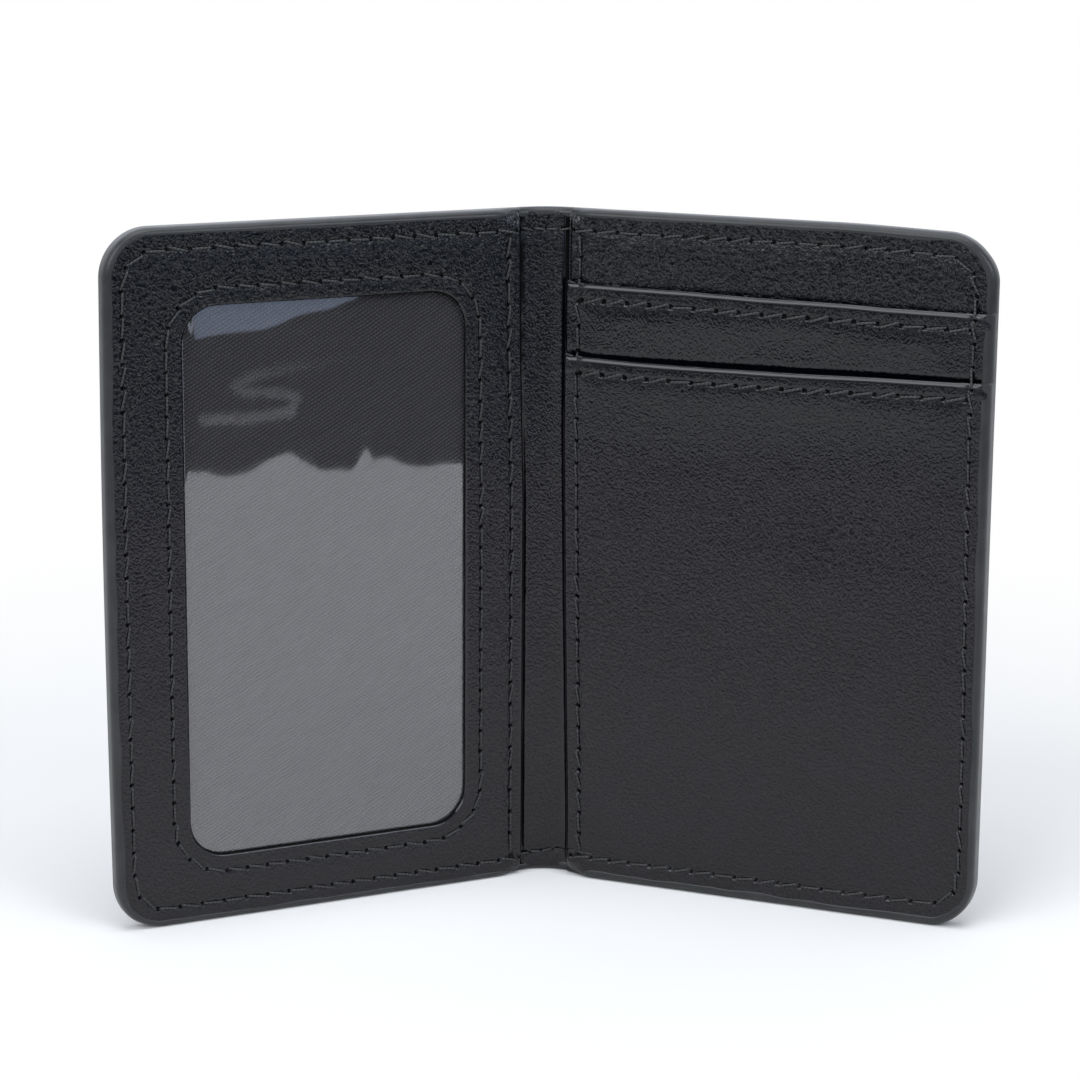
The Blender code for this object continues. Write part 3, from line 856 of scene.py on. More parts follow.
def outer_cover(side):
    """One half of the outer leather, from the middle of the spine to the painted edge."""
    near = np.arange(0.0, 8.01, 0.4)
    far = column_set(RIM_COLUMNS, PERIMETER_FAR, np.arange(3.0, 9.1, 0.45))
    along, height, _ = leaf_grid(0.0, UNDER_PAINT, UNDER_PAINT, WALLET_HEIGHT - UNDER_PAINT, near, far)
    seams = [outside_seam()]
    front = np.full(along.shape, COVER_FRONT)
    back = COVER_BACK + drawn_in(along, height, seams)
    return slab(SIDE_NAMES[side] + "_outer_leather", side, along, height, front, back, [LEATHER], seams)


def spine_lining_strip(side):
    """One half of the leather strip inside the spine, tucked under the panel beside it."""
    outer = HALF_ARC + STRIP_REACH
    low = UNDER_PAINT
    high = WALLET_HEIGHT - UNDER_PAINT
    width = STRIP_DIP_WIDTH[side]
    dip_middle = HALF_ARC + (WINDOW_PANEL_START if side == LEFT else POCKET_START) - width
    columns = column_set(np.linspace(0.0, outer, 36), dip_middle + np.linspace(-0.6, 0.6, 11))
    between = steps_between(low + EDGE_OFFSETS[-1], high - EDGE_OFFSETS[-1], STRIP_STEP)
    heights = np.concatenate([low + EDGE_OFFSETS, between, high - EDGE_OFFSETS[::-1]])
    along, height = np.meshgrid(columns, heights)
    from_dip = along - dip_middle
    along = along + np.interp(height, *EDGE_DRIFT[side]) * np.exp(-((from_dip / 1.5) ** 2))
    seams = spine_seams(outer)
    rim = np.minimum(height - low, high - height)
    front = STRIP_FACE - drawn_in(along, height, seams) - rounding(rim, LEATHER_ROUND) - under_nose(rim)
    front -= STRIP_DIP[side] * np.exp(-((from_dip / width) ** 2))
    front = np.maximum(front, STRIP_BACK + LEAST_THICKNESS)
    back = np.full(along.shape, STRIP_BACK)
    # painted crease shade: columns along the dip beside the panel take the dark cut-edge finish, though the
    # strip is not cut there
    dark = np.abs((columns[1:] + columns[:-1]) / 2 - dip_middle - 0.08) < 0.30
    grain = smooth((np.abs(from_dip) - 0.3) / 0.9)
    name = SIDE_NAMES[side] + "_spine_strip"
    return slab(name, side, along, height, front, back, [LEATHER, CUT_EDGE_AND_SHADE], seams, grain, dark)


def stand_off(out, below):
    """How far a pocket's mouth stands off the leaf, out from the fold line and below the mouth."""
    across = np.sin(np.clip((out - POCKET_START) / (FOLD_TO_EDGE - POCKET_START), 0.0, 1.0) * math.pi) ** 0.6
    return MOUTH_STAND_OFF * across * np.exp(-((below / MOUTH_STAND_REACH) ** 2)) * (below > -0.01)


def swell(out, height):
    """A slight, wide swelling of the lower pocket's leather."""
    share = ((out - SWELL_OUT) / SWELL_WIDTH) ** 2 + ((height - SWELL_HEIGHT) / SWELL_REACH) ** 2
    return SWELL_RISE * np.exp(-share)


def panel(name, start, back_depth, face, seams, low=UNDER_PAINT, high=WALLET_HEIGHT - UNDER_PAINT,
          mouth=False, floor=False, swollen=False, pocket_above=None, hollow=LOWER_MOUTH_HOLLOW):
    """A leather ply on the right leaf's inside, with rounded rims and drawn-in seams.

    A mouth is a straight upper end that is turned and stands off, and a floor is a straight lower end.
    pocket_above is the height of the mouth of the pocket that lies on this ply, and hollow tells how
    deep the leather sinks above that mouth and within which distance.
    """
    near = column_set(EDGE_OFFSETS, SEAM_NEAR, PANEL_COLUMNS)
    far = column_set(RIM_COLUMNS, PERIMETER_FAR, np.arange(3.0, 9.1, 0.5))
    along, height, rim = leaf_grid(
        HALF_ARC + start, UNDER_PAINT, low, high, near, far, not floor, not mouth,
        low_rows=EDGE_OFFSETS,
        high_rows=column_set(EDGE_OFFSETS, MOUTH_ROWS, dense_near(MOUTH_STITCH_DROP, 0.9)),
        extra_rows=() if pocket_above is None else pocket_above + np.arange(-0.3, 1.6, 0.12),
    )
    out = along - HALF_ARC
    from_spine = out - start
    front = face - drawn_in(along, height, seams) - under_nose(free_rim(out, height))
    grain = smooth(from_spine / 0.8)
    pressed = thinned(out, height, start, face)
    front -= pressed
    back = np.full(along.shape, back_depth) - pressed * (back_depth - STRIP_FACE) / (face - STRIP_FACE)
    if swollen:
        raised = swell(out, height)
        front += raised
        back += raised
    if mouth:
        below = high - height
        grain *= smooth((below - 0.6) / 0.8)
        stand = stand_off(out, below)
        others = np.where(below <= rim + 1e-6, FAR_AWAY, rim)
        turned = np.clip((MOUTH_RISE - below) / MOUTH_RISE, 0.0, 1.0)
        hem = np.clip((below - MOUTH_RISE) / (HEM_START - MOUTH_RISE), 0.0, 1.0)
        front += stand + HEM_PROUD * hem * smooth((MOUTH_STITCH_DROP - 0.1 - below) / 0.4)
        front -= rounding(others, LEATHER_ROUND) + pillow(others)
        front -= MOUTH_ROUND * (1.0 - np.sqrt(1.0 - turned ** 2))
        back += stand
    else:
        front -= rounding(rim, LEATHER_ROUND) + pillow(rim)
    front -= np.maximum(rounding(from_spine, SPINE_EDGE_ROUND) - rounding(from_spine, LEATHER_ROUND), 0.0)
    if pocket_above is not None:
        above = np.maximum(height - pocket_above, 0.0)
        front -= hollow[0] * np.exp(-((above / hollow[1]) ** 2))
    front = np.maximum(front, back + LEAST_THICKNESS)
    return slab(name, RIGHT, along, height, front, back, [LEATHER, CUT_EDGE_AND_SHADE], seams, grain)


def frame_ring(extra):
    """The window frame's outer outline, moved inwards by an amount."""
    low = (WINDOW_PANEL_START + extra, UNDER_PAINT + extra)
    high = (FOLD_TO_EDGE - UNDER_PAINT - extra, WALLET_HEIGHT - UNDER_PAINT - extra)
    return rounded_ring(low, high, 0.12, CORNER_RADIUS - UNDER_PAINT - extra, **RING_STEPS)


def window_frame():
    """The leather frame round the identity window, with a rounded cut edge.

    It is built of rings, from the window's edge over its face to its outer edge, and back behind.
    """
    inner_offsets = column_set(
        EDGE_OFFSETS, (0.7, 1.0, 1.3), dense_near(WINDOW_STITCH_OFFSET), (RING_MIDDLE,)
    )
    outer_insets = column_set(EDGE_OFFSETS, (0.36, 0.7), PERIMETER_FAR, (3.0, 3.5, RING_MIDDLE))
    inner_rings = [window_ring(offset) for offset in inner_offsets]
    outer_rings = [frame_ring(extra) for extra in outer_insets[::-1]]
    across = outer_rings[0] - inner_rings[-1]
    middle_rings = [inner_rings[-1] + across * share for share in (0.33, 0.66)]
    rings = np.array(inner_rings + middle_rings + outer_rings)
    count = rings.shape[1]
    out, height = rings[..., 0], rings[..., 1]
    seams = [on_cover(WINDOW_SEAM, True), on_cover(LEFT_PERIMETER), on_cover(LEFT_EDGE_SEAM)]
    gap, run = nearest_seam(pairs(out + HALF_ARC, height), seams)
    middle = np.full(len(middle_rings), RING_MIDDLE)
    from_inner = np.concatenate([inner_offsets, middle, np.full(len(outer_rings), FAR_AWAY)])
    from_outer = np.concatenate([np.full(len(inner_rings), FAR_AWAY), middle, outer_insets[::-1]])
    fall = rounding(from_inner, WINDOW_EDGE_ROUND) + rounding(from_outer, LEATHER_ROUND)
    fall += pillow(from_inner) + pillow(from_outer)
    folded = rounding(out - WINDOW_PANEL_START, SPINE_EDGE_ROUND)
    pressed = thinned(out, height, WINDOW_PANEL_START, LEFT_FACE)
    front = LEFT_FACE - groove(gap).reshape(out.shape) - np.maximum(fall[:, None], folded) - pressed
    front -= under_nose(free_rim(out, height))
    front = np.maximum(front, WINDOW_PANEL_BACK + LEAST_THICKNESS - pressed)
    back_rings = rings[[-1, len(rings) // 2, 0]]
    back = WINDOW_PANEL_BACK - thinned(
        back_rings[..., 0], back_rings[..., 1], WINDOW_PANEL_START, WINDOW_PANEL_BACK
    )
    all_rings = np.concatenate([rings, back_rings])
    all_out, all_height = all_rings[..., 0], all_rings[..., 1]
    points = place(LEFT * (HALF_ARC + all_out), all_height, np.concatenate([front, back])).reshape(-1, 3)
    loops = len(all_rings)
    index = np.arange(loops * count).reshape(loops, count)
    next_loop = np.roll(index, -1, axis=0)
    corners = [index, np.roll(index, -1, axis=1), np.roll(next_loop, -1, axis=1), next_loop]
    faces = np.stack(corners, axis=-1).reshape(-1, 4)
    flat = pairs(-(all_out + HALF_ARC), all_height)
    grain = np.interp(all_height, *GRAIN_BY_HEIGHT[LEFT]).ravel()
    grain[:out.size] *= np.repeat(smooth(from_inner / 0.6), count)
    grain *= smooth((all_out.ravel() - WINDOW_PANEL_START) / 0.8)
    seam = (
        np.concatenate([gap, np.full(back.size, 1e3)]), np.concatenate([run, np.zeros(back.size)]), grain
    )
    # The window's cut wall and, away from the fold side, the first rings of its rounding take the dark
    # cut-edge finish: the leather's own cut edge and painted shade along the window's edge.
    cut = np.zeros((loops, count), bool)
    cut[[0, 1, 2, 3, len(rings) - 1, -1]] = True
    cut[[1, 2, 3]] &= all_out[[1, 2, 3]] > WINDOW_FROM_FOLD + 1.5
    return make_object("window_frame", points, faces, [LEATHER, CUT_EDGE_AND_SHADE], flat, seam, cut)


def leaf_edge():
    """The leaf's outline on its three free sides, as (out, height), with its outward directions."""
    centre = FOLD_TO_EDGE - CORNER_RADIUS
    quarter = math.pi / 2
    high_centre = (centre, WALLET_HEIGHT - CORNER_RADIUS)
    high_corner = arc(high_centre, CORNER_RADIUS, quarter, 0.0, BEAD_CORNER_STEPS)
    low_corner = arc((centre, CORNER_RADIUS), CORNER_RADIUS, 0.0, -quarter, BEAD_CORNER_STEPS)
    end = np.linspace(PAINT_START, centre, BEAD_END_STEPS)
    head = pairs(end, np.full(BEAD_END_STEPS, WALLET_HEIGHT))[:-1]
    foot = pairs(np.linspace(centre, PAINT_START, BEAD_END_STEPS), np.zeros(BEAD_END_STEPS))[1:]
    near_mouth = np.linspace(-0.6, 0.6, 9)
    steps = column_set(
        steps_between(CORNER_RADIUS, WALLET_HEIGHT - CORNER_RADIUS, 1.0),
        UPPER_MOUTH + near_mouth, LOWER_MOUTH + near_mouth,
    )[::-1]
    side = pairs(np.full(len(steps), FOLD_TO_EDGE), steps)
    points = np.concatenate([head, high_corner, side, low_corner, foot])
    away = np.concatenate([
        np.tile((0.0, 1.0), (len(head), 1)),
        arc((0.0, 0.0), 1.0, quarter, 0.0, BEAD_CORNER_STEPS),
        np.tile((1.0, 0.0), (len(side), 1)),
        arc((0.0, 0.0), 1.0, 0.0, -quarter, BEAD_CORNER_STEPS),
        np.tile((0.0, -1.0), (len(foot), 1)),
    ])
    return points, away


def wander(count, seed, smoothing=9):
    """Seeded, smoothed numbers about zero, for the small unevenness of hand work."""
    noise = np.random.default_rng(seed).normal(size=count + 2 * smoothing)
    window = np.hanning(2 * smoothing + 1)
    return np.convolve(noise, window / window.sum(), "valid")[:count] * math.sqrt(smoothing)


def edge_bead(name, side, points, away, front, seed):
    """Edge paint as a rounded bead that laps a little over the leather on both faces."""
    count = len(points)
    lip = PAINT_LIP * (1.0 + 0.07 * wander(count, seed, 4))
    front_top = front - 0.02 + 0.02 * wander(count, seed + 1)
    back_top = COVER_BACK - PAINT_PROUD
    nose_depth = np.minimum(PAINT_NOSE[1], front_top - back_top - PAINT_ROUND - 0.05)
    turns = np.linspace(0.0, math.pi / 2, 6)
    insets = [lip, lip * 0.8]
    depths = [np.full(count, COVER_BACK + 0.04), np.full(count, COVER_BACK - 0.012)]
    for turn in turns:
        insets.append(np.full(count, PAINT_ROUND * (1.0 - math.sin(turn))))
        depths.append(np.full(count, back_top + PAINT_ROUND * (1.0 - math.cos(turn))))
    for turn in np.linspace(math.pi / 2, 0.0, 11):
        insets.append(np.full(count, PAINT_NOSE[0] * (1.0 - math.sin(turn))))
        depths.append(front_top - nose_depth * (1.0 - math.cos(turn)))
    insets += [lip * 0.92, lip, lip * 0.9, lip * 0.9]
    depths += [front_top - 0.015, front_top - 0.10, front_top - 0.3, np.full(count, COVER_BACK + 0.3)]
    insets = np.array(insets).T
    depths = np.array([np.broadcast_to(depth, count) for depth in depths]).T
    along = points[:, 0, None] - away[:, 0, None] * insets
    height = points[:, 1, None] - away[:, 1, None] * insets
    loops = insets.shape[1]
    verts = place(side * along, height, depths).reshape(-1, 3)
    index = np.arange(count * loops).reshape(count, loops)
    around = np.roll(index, -1, axis=1)
    walls = np.stack([index[:-1], around[:-1], around[1:], index[1:]], axis=-1).reshape(-1, 4)
    faces = walls[:, ::-1].tolist() + [index[0].tolist(), index[-1, ::-1].tolist()]
    if side == LEFT:
        faces = walls.tolist() + [index[0, ::-1].tolist(), index[-1].tolist()]
    return make_object(name, verts, faces, [PAINT], pairs(side * along, height))


def leaf_bead(side):
    """The painted edge of a leaf; on the right leaf it steps back above each pocket's mouth."""
    points, away = leaf_edge()
    height = points[:, 1]
    if side == LEFT:
        front = np.full(len(points), LEFT_FACE)
    else:
        upper = smooth((UPPER_MOUTH + 0.15 - height) / 0.3)
        lower = smooth((LOWER_MOUTH + 0.15 - height) / 0.3)
        front = BACK_PANEL_FACE + (UPPER_POCKET_FACE - BACK_PANEL_FACE) * upper
        front += (RIGHT_FACE - UPPER_POCKET_FACE) * lower
    front = front - thinned(points[:, 0], height, PAINT_START, front)
    points = points + np.array([HALF_ARC, 0.0])
    return edge_bead(SIDE_NAMES[side] + "_edge_coat", side, points, away, front, 11 + side)


def spine_bead(side, head):
    """The painted edge across one half of the spine, at its head or foot."""
    count = 16
    at = WALLET_HEIGHT if head else 0.0
    points = pairs(np.linspace(0.0, HALF_ARC + SPINE_PAINT_REACH, count), np.full(count, at))
    away = np.tile((0.0, 1.0 if head else -1.0), (count, 1))
    if not head:
        points = points[::-1]
    name = SIDE_NAMES[side] + ("_spine_head_coat" if head else "_spine_foot_coat")
    return edge_bead(name, side, points, away, np.full(count, STRIP_FACE), 21 if head else 22)


def lining_sheet(side):
    """A leaf's twill lining, one flat cut of cloth glued to the board."""
    along, height, _ = leaf_grid(
        HALF_ARC + LINING_START, LINING_INSET, LINING_INSET, WALLET_HEIGHT - LINING_INSET,
        near=(0.0, 1.0, 2.0), far=(0.0, 1.0, 8.0),
    )
    front = np.full(along.shape, LINING_FACE)
    back = np.full(along.shape, LINING_BACK)
    return slab(SIDE_NAMES[side] + "_twill_lining", side, along, height, front, back, [TWILL])


# The film's reflection breaks into waves. Shares run across the window from the leaf's outer edge.
WAVE_SHARES = (0.0, 0.165, 0.22, 0.29, 0.345, 0.42, 0.50, 0.57, 0.64, 0.71, 0.80, 0.85, 0.93, 1.0)
WAVE_RISES = (0.65, -0.85, -0.45, 1.1, 1.6, 0.0, -1.5, -2.3, -0.65, 0.0, -1.6, -2.15, -1.95, -2.3)
WAVE_HEIGHT = 68.0
WAVE_SLOPE_PER_RISE = 1 / 384
WAVE_REACH = 7.0
CREST_SHARES = (0.0, 0.05, 0.10, 0.19, 0.30, 0.34, 0.39, 0.45, 0.52, 0.57, 0.61, 0.66)
CREST_HEIGHTS = (87.7, 87.75, 88.15, 88.4, 88.75, 89.25, 90.15, 90.7, 91.1, 91.9, 92.3, 93.8)
CREST_SLOPE = 0.070
CREST_ROUND = 0.35
CREASE_PATH = (
    (0.07, 76.8), (0.25, 76.4), (0.376, 77.0), (0.394, 79.0), (0.322, 79.8), (0.215, 80.2),
    (0.179, 81.2), (0.25, 82.6), (0.43, 83.6), (0.608, 84.2), (0.734, 84.4),
)
CREASE_RISE = 0.02
CREASE_WIDTH = 1.6


def smooth_through(shares, values, at):
    """Values on a smooth curve through given ones."""
    shares = np.asarray(shares)
    values = np.asarray(values)
    slopes = np.gradient(values, shares)
    index = np.clip(np.searchsorted(shares, at) - 1, 0, len(shares) - 2)
    width = shares[index + 1] - shares[index]
    part = (at - shares[index]) / width
    rest = 1.0 - part
    ends = values[index] * (1.0 + 2.0 * part) * rest ** 2
    ends += values[index + 1] * (3.0 - 2.0 * part) * part ** 2
    return ends + width * (slopes[index] * part * rest ** 2 - slopes[index + 1] * part ** 2 * rest)


def window_film():
    """The clear film behind the frame: it stands a little proud, leans back at the head and is creased."""
    window_side = FOLD_TO_EDGE - WINDOW_FROM_SIDE
    window_head = WALLET_HEIGHT - WINDOW_FROM_TOP
    window_width = window_side - WINDOW_FROM_FOLD
    outs, heights = (
        np.linspace(low, high, math.ceil((high - low) / FILM_STEP)) for low, high in (
            (WINDOW_FROM_FOLD - FILM_MARGIN, window_side + FILM_MARGIN),
            (WINDOW_FROM_BOTTOM - FILM_MARGIN, window_head + FILM_MARGIN),
        )
    )
    out, height = np.meshgrid(outs, heights)
    from_side = window_side - out
    share = from_side / window_width
    crest = smooth_through(CREST_SHARES, CREST_HEIGHTS, np.clip(share, 0.0, CREST_SHARES[-1]))
    above = CREST_ROUND * np.logaddexp(0.0, (height - crest) / CREST_ROUND)
    lift = CREST_SLOPE * (window_head - crest) * smooth((height - 15.0) / 45.0)
    lift -= CREST_SLOPE * above * smooth((from_side - 0.8) / 1.2)
    beside = np.minimum(from_side, out - WINDOW_FROM_FOLD)
    lift *= smooth((beside + 2.4) / 2.0)
    wave = smooth_through(WAVE_SHARES, WAVE_RISES, np.clip(share, 0.0, 1.0)) * WAVE_SLOPE_PER_RISE
    from_wave = height - WAVE_HEIGHT
    lift += wave * from_wave * np.exp(-((from_wave / WAVE_REACH) ** 2))
    path = np.array([(window_side - at * window_width, up) for at, up in CREASE_PATH])
    gap, _ = nearest_seam(pairs(out, height), [(path, False)])
    lift += CREASE_RISE * np.exp(-((gap.reshape(out.shape) / CREASE_WIDTH) ** 2))
    lift = np.clip(lift, -0.05, 0.6) * smooth(np.minimum(window_head - height, beside) + 1.0)
    front = FILM_FACE + lift
    back = FILM_BACK + lift
    return slab("clear_film", LEFT, out + HALF_ARC, height, front, back, [FILM], [on_cover(path)])


class Maker(Nodes):
    """A geometry node tree, built by short calls."""

    family = "GeometryNode"

    def __init__(self, name, inputs):
        super().__init__(bpy.data.node_groups.new(name, "GeometryNodeTree"))
        self.sockets = {}
        for label, kind in inputs.items():
            socket = self.tree.interface.new_socket(label, in_out="INPUT", socket_type="NodeSocket" + kind)
            self.sockets[label] = socket.identifier
        self.tree.interface.new_socket("Result", in_out="OUTPUT", socket_type="NodeSocketGeometry")
        self.given = self.tree.nodes.new("NodeGroupInput").outputs
        self.result = self.tree.nodes.new("NodeGroupOutput").inputs[0]

    def vector(self, x=0.0, y=0.0, z=0.0):
        """A vector of three values."""
        return self.add("ShaderNodeCombineXYZ", {0: x, 1: y, 2: z})

    def store(self, geometry, name, value, data_type="FLOAT", domain="POINT"):
        """Geometry that carries a value under a name."""
        inputs = {"Geometry": geometry, "Name": name, "Value": value}
        return self.add("StoreNamedAttribute", inputs, data_type=data_type, domain=domain)

    def stored(self, name):
        """A vector that geometry carries under a name."""
        return self.add("InputNamedAttribute", {"Name": name}, data_type="FLOAT_VECTOR")

    def join(self, *parts):
        """Several geometries in one."""
        node = self.tree.nodes.new("GeometryNodeJoinGeometry")
        for part in parts:
            self.tree.links.new(part, node.inputs[0])
        return node.outputs[0]

    def finished(self, geometry, material):
        """Real meshes with a material, from instances."""
        real = self.add("RealizeInstances", {"Geometry": geometry})
        return self.add("SetMaterial", {"Geometry": real, "Material": material})

    def run(self, name, base, values):
        """Evaluate the tree on a base mesh and keep the result as a plain mesh object."""
        modifier = base.modifiers.new(name, "NODES")
        modifier.node_group = self.tree
        for label, value in values.items():
            modifier[self.sockets[label]] = value
        bpy.context.view_layer.update()
        graph = bpy.context.evaluated_depsgraph_get()
        mesh = bpy.data.meshes.new_from_object(base.evaluated_get(graph))
        mesh.name = name
        source = base.data
        bpy.data.objects.remove(base, do_unlink=True)
        bpy.data.meshes.remove(source)
        return add_object(name, mesh)


def sewing_tree():
    """Lockstitch: a twisted thread on each edge of a polyline and a needle hole on each of its points.

    Under each thread lies a flat dark shape as long as itself, painted shadow along the thread; the needle
    holes are dark shapes too, painted shade.
    """
    maker = Maker("lockstitch", {
        "Seam": "Geometry",
        "Thread Radius": "Float",
        "Stitch Length": "Float",
        "Rise": "Float",
        "Dip": "Float",
        "Slant": "Float",
        "Unevenness": "Float",
        "Hole Length": "Float",
        "Hole Width": "Float",
        "Hole Slant": "Float",
        "Seed": "Int",
        "Thread": "Material",
        "Hole": "Material",
    })
    given = maker.given
    first = maker.add("InputMeshEdgeVertices", output="Position 1")
    second = maker.add("InputMeshEdgeVertices", output="Position 2")
    span = maker.add("ShaderNodeVectorMath", {0: second, 1: first}, operation="SUBTRACT")
    seam = maker.store(given["Seam"], "span", span, "FLOAT_VECTOR", "EDGE")
    forward = {"Vector": maker.stored("span")}
    turned = maker.add("FunctionNodeAlignRotationToVector", forward, axis="X")
    upright = {"Rotation": turned, "Vector": maker.stored("surface")}
    turned = maker.add("FunctionNodeAlignRotationToVector", upright, axis="Z", pivot_axis="X")
    random = maker.add(
        "FunctionNodeRandomValue", {2: -1.0, 3: 1.0, "Seed": given["Seed"]}, 1, data_type="FLOAT"
    )

    def set_on(points, shape, slant, **scale):
        """Copies of a shape on points, turned along the seam and by a slant."""
        angle = maker.math("MULTIPLY_ADD", random, given["Unevenness"], slant)
        twist = maker.add("FunctionNodeAxisAngleToRotation", {"Axis": (0.0, 0.0, 1.0), "Angle": angle})
        rotation = maker.add(
            "FunctionNodeRotateRotation", {"Rotation": turned, "Rotate By": twist}, rotation_space="LOCAL"
        )
        inputs = {"Points": points, "Instance": shape, "Rotation": rotation, **scale}
        return maker.add("InstanceOnPoints", inputs)

    half = maker.math("MULTIPLY", given["Stitch Length"], 0.5)
    start = maker.vector(x=maker.math("MULTIPLY", half, -1.0))
    line = maker.add("CurvePrimitiveLine", {"Start": start, "End": maker.vector(x=half)})
    line = maker.add("ResampleCurve", {"Curve": line, "Count": 10})
    share = maker.add("SplineParameter", output="Factor")
    across = maker.math("MULTIPLY_ADD", share, 2.0, -1.0)
    ends = maker.math("POWER", maker.math("ABSOLUTE", across), 5.0)
    sink = maker.math("SUBTRACT", given["Rise"], maker.math("MULTIPLY", given["Dip"], ends))
    line = maker.add("SetPosition", {"Geometry": line, "Offset": maker.vector(z=sink)})
    line = maker.store(line, "thread_run", share)
    circle = maker.add("CurvePrimitiveCircle", {"Resolution": 8, "Radius": given["Thread Radius"]})
    circle = maker.store(circle, "thread_turn", share)
    taper = maker.math("SUBTRACT", 1.0, maker.math("MULTIPLY", ends, 0.45))
    sweep = {"Curve": line, "Profile Curve": circle, "Scale": taper, "Fill Caps": True}
    stitch = maker.add("SetShadeSmooth", {"Geometry": maker.add("CurveToMesh", sweep)})
    edges = maker.add("MeshToPoints", {"Mesh": seam}, mode="EDGES")
    threads = maker.finished(set_on(edges, stitch, given["Slant"]), given["Thread"])

    ball = maker.add("MeshUVSphere", {"Segments": 12, "Rings": 6, "Radius": 0.5 * MM})
    ball = maker.add("SetShadeSmooth", {"Geometry": ball})
    length = maker.math("DIVIDE", given["Hole Length"], MM)
    width = maker.math("DIVIDE", given["Hole Width"], MM)
    hole = maker.add("Transform", {"Geometry": ball, "Scale": maker.vector(length, width, 0.12)})
    corners = maker.add("MeshToPoints", {"Mesh": seam}, mode="VERTICES")
    varied = maker.add(
        "FunctionNodeRandomValue", {0: (0.65, 0.6, 0.8), 1: (1.25, 1.2, 1.2), "Seed": given["Seed"]},
        data_type="FLOAT_VECTOR",
    )
    holes = set_on(corners, hole, given["Hole Slant"], Scale=varied)
    length = maker.math("DIVIDE", given["Stitch Length"], MM)
    width = maker.math("MULTIPLY_ADD", given["Thread Radius"], 2.0 / MM, 0.20)
    thread_shadow = maker.add("Transform", {"Geometry": ball, "Scale": maker.vector(length, width, 0.12)})
    thread_shadows = set_on(edges, thread_shadow, given["Slant"])
    # painted shade: the hole shapes and the shadows under the threads take the near-black hole finish
    holes = maker.finished(maker.join(holes, thread_shadows), given["Hole"])
    maker.tree.links.new(maker.join(threads, holes), maker.result)
    return maker


SEWING = sewing_tree()


def seam_line(name, side, runs, inside):
    """The polyline of a seam: its points are the needle holes, and each carries the surface's direction."""
    points, normals, edges = [], [], []
    for places, depths, closed in runs:
        first = len(points)
        along = side * places[:, 0]
        points += place(along, places[:, 1], depths).tolist()
        normals += (facing(along) * (1.0 if inside else -1.0)).tolist()
        count = len(places)
        edges += [(first + index, first + index + 1) for index in range(count - 1)]
        if closed:
            edges.append((first + count - 1, first))
    mesh = bpy.data.meshes.new(name)
    mesh.from_pydata(points, edges, [])
    surface = mesh.attributes.new("surface", "FLOAT_VECTOR", "POINT")
    surface.data.foreach_set("vector", np.array(normals, np.float32).ravel())
    return add_object(name, mesh)


def sew(name, side, paths, face, seed, inside=True, pitch=STITCH_PITCH, length=None, slant=7.0,
        hole_slant=36.0, hole=(0.66, 0.26), radius=THREAD_RADIUS, rise=0.10, jitter=9.0):
    """Sew along paths given as (along, height), on a face at a depth or at the depth that a rule gives."""
    runs = []
    for path, closed in paths:
        places = even_points(path, pitch, closed)
        depth = face(places) if callable(face) else np.full(len(places), face)
        drawn = (GROOVE_DEPTH + PUFF_DEPTH) * SEATED_SHARE * (-1.0 if inside else 1.0)
        runs.append((places, depth + drawn, closed))
    return SEWING.run(name, seam_line(name, side, runs, inside), {
        "Thread Radius": radius * MM,
        "Stitch Length": (length or pitch * STITCH_SHARE) * MM,
        "Rise": rise * MM,
        "Dip": THREAD_DIP * MM,
        "Slant": math.radians(slant) * side,
        "Unevenness": math.radians(jitter),
        "Hole Length": hole[0] * MM,
        "Hole Width": hole[1] * MM,
        "Hole Slant": math.radians(hole_slant) * side,
        "Seed": seed,
        "Thread": THREAD,
        "Hole": HOLE_SHADE,
    })


def right_face_depth(places):
    """The depth of the right leaf's face, which steps forward at each pocket's mouth."""
    out = places[:, 0] - HALF_ARC
    height = places[:, 1]
    depth = np.full(len(places), BACK_PANEL_FACE)
    for mouth, face in ((UPPER_MOUTH, UPPER_POCKET_FACE), (LOWER_MOUTH, RIGHT_FACE)):
        depth = np.where(height < mouth, face + stand_off(out, mouth - height), depth)
    return depth


def bend_with_fold(obj, side):
    """Bake a piece that crosses a fold into its world placing; the places where it would bend are worked
    out, but nothing bends it.
    """
    start = place(side * (HALF_ARC - FOLD_REACH), WALLET_HEIGHT / 2, 0.0)
    end = place(side * (HALF_ARC + FOLD_REACH), WALLET_HEIGHT / 2, 0.0)
    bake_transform(obj)


def settle(obj, nodes, side, across_fold=False):
    """Give a finished piece on a leaf that leaf's body, bake a piece across the fold in place without a
    body, and hide the nodes it stands for.
    """
    if across_fold:
        bend_with_fold(obj, side)
    else:
        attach(obj, SIDE_NAMES[side] + "_leaf")
    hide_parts(*nodes)
    return obj


def sew_leaf(name, node, side, paths, face, seed, **stitch):
    """Sewing that stands for one node and rides on a leaf."""
    settle(sew(name, side, paths, face, seed, **stitch), [node], side)


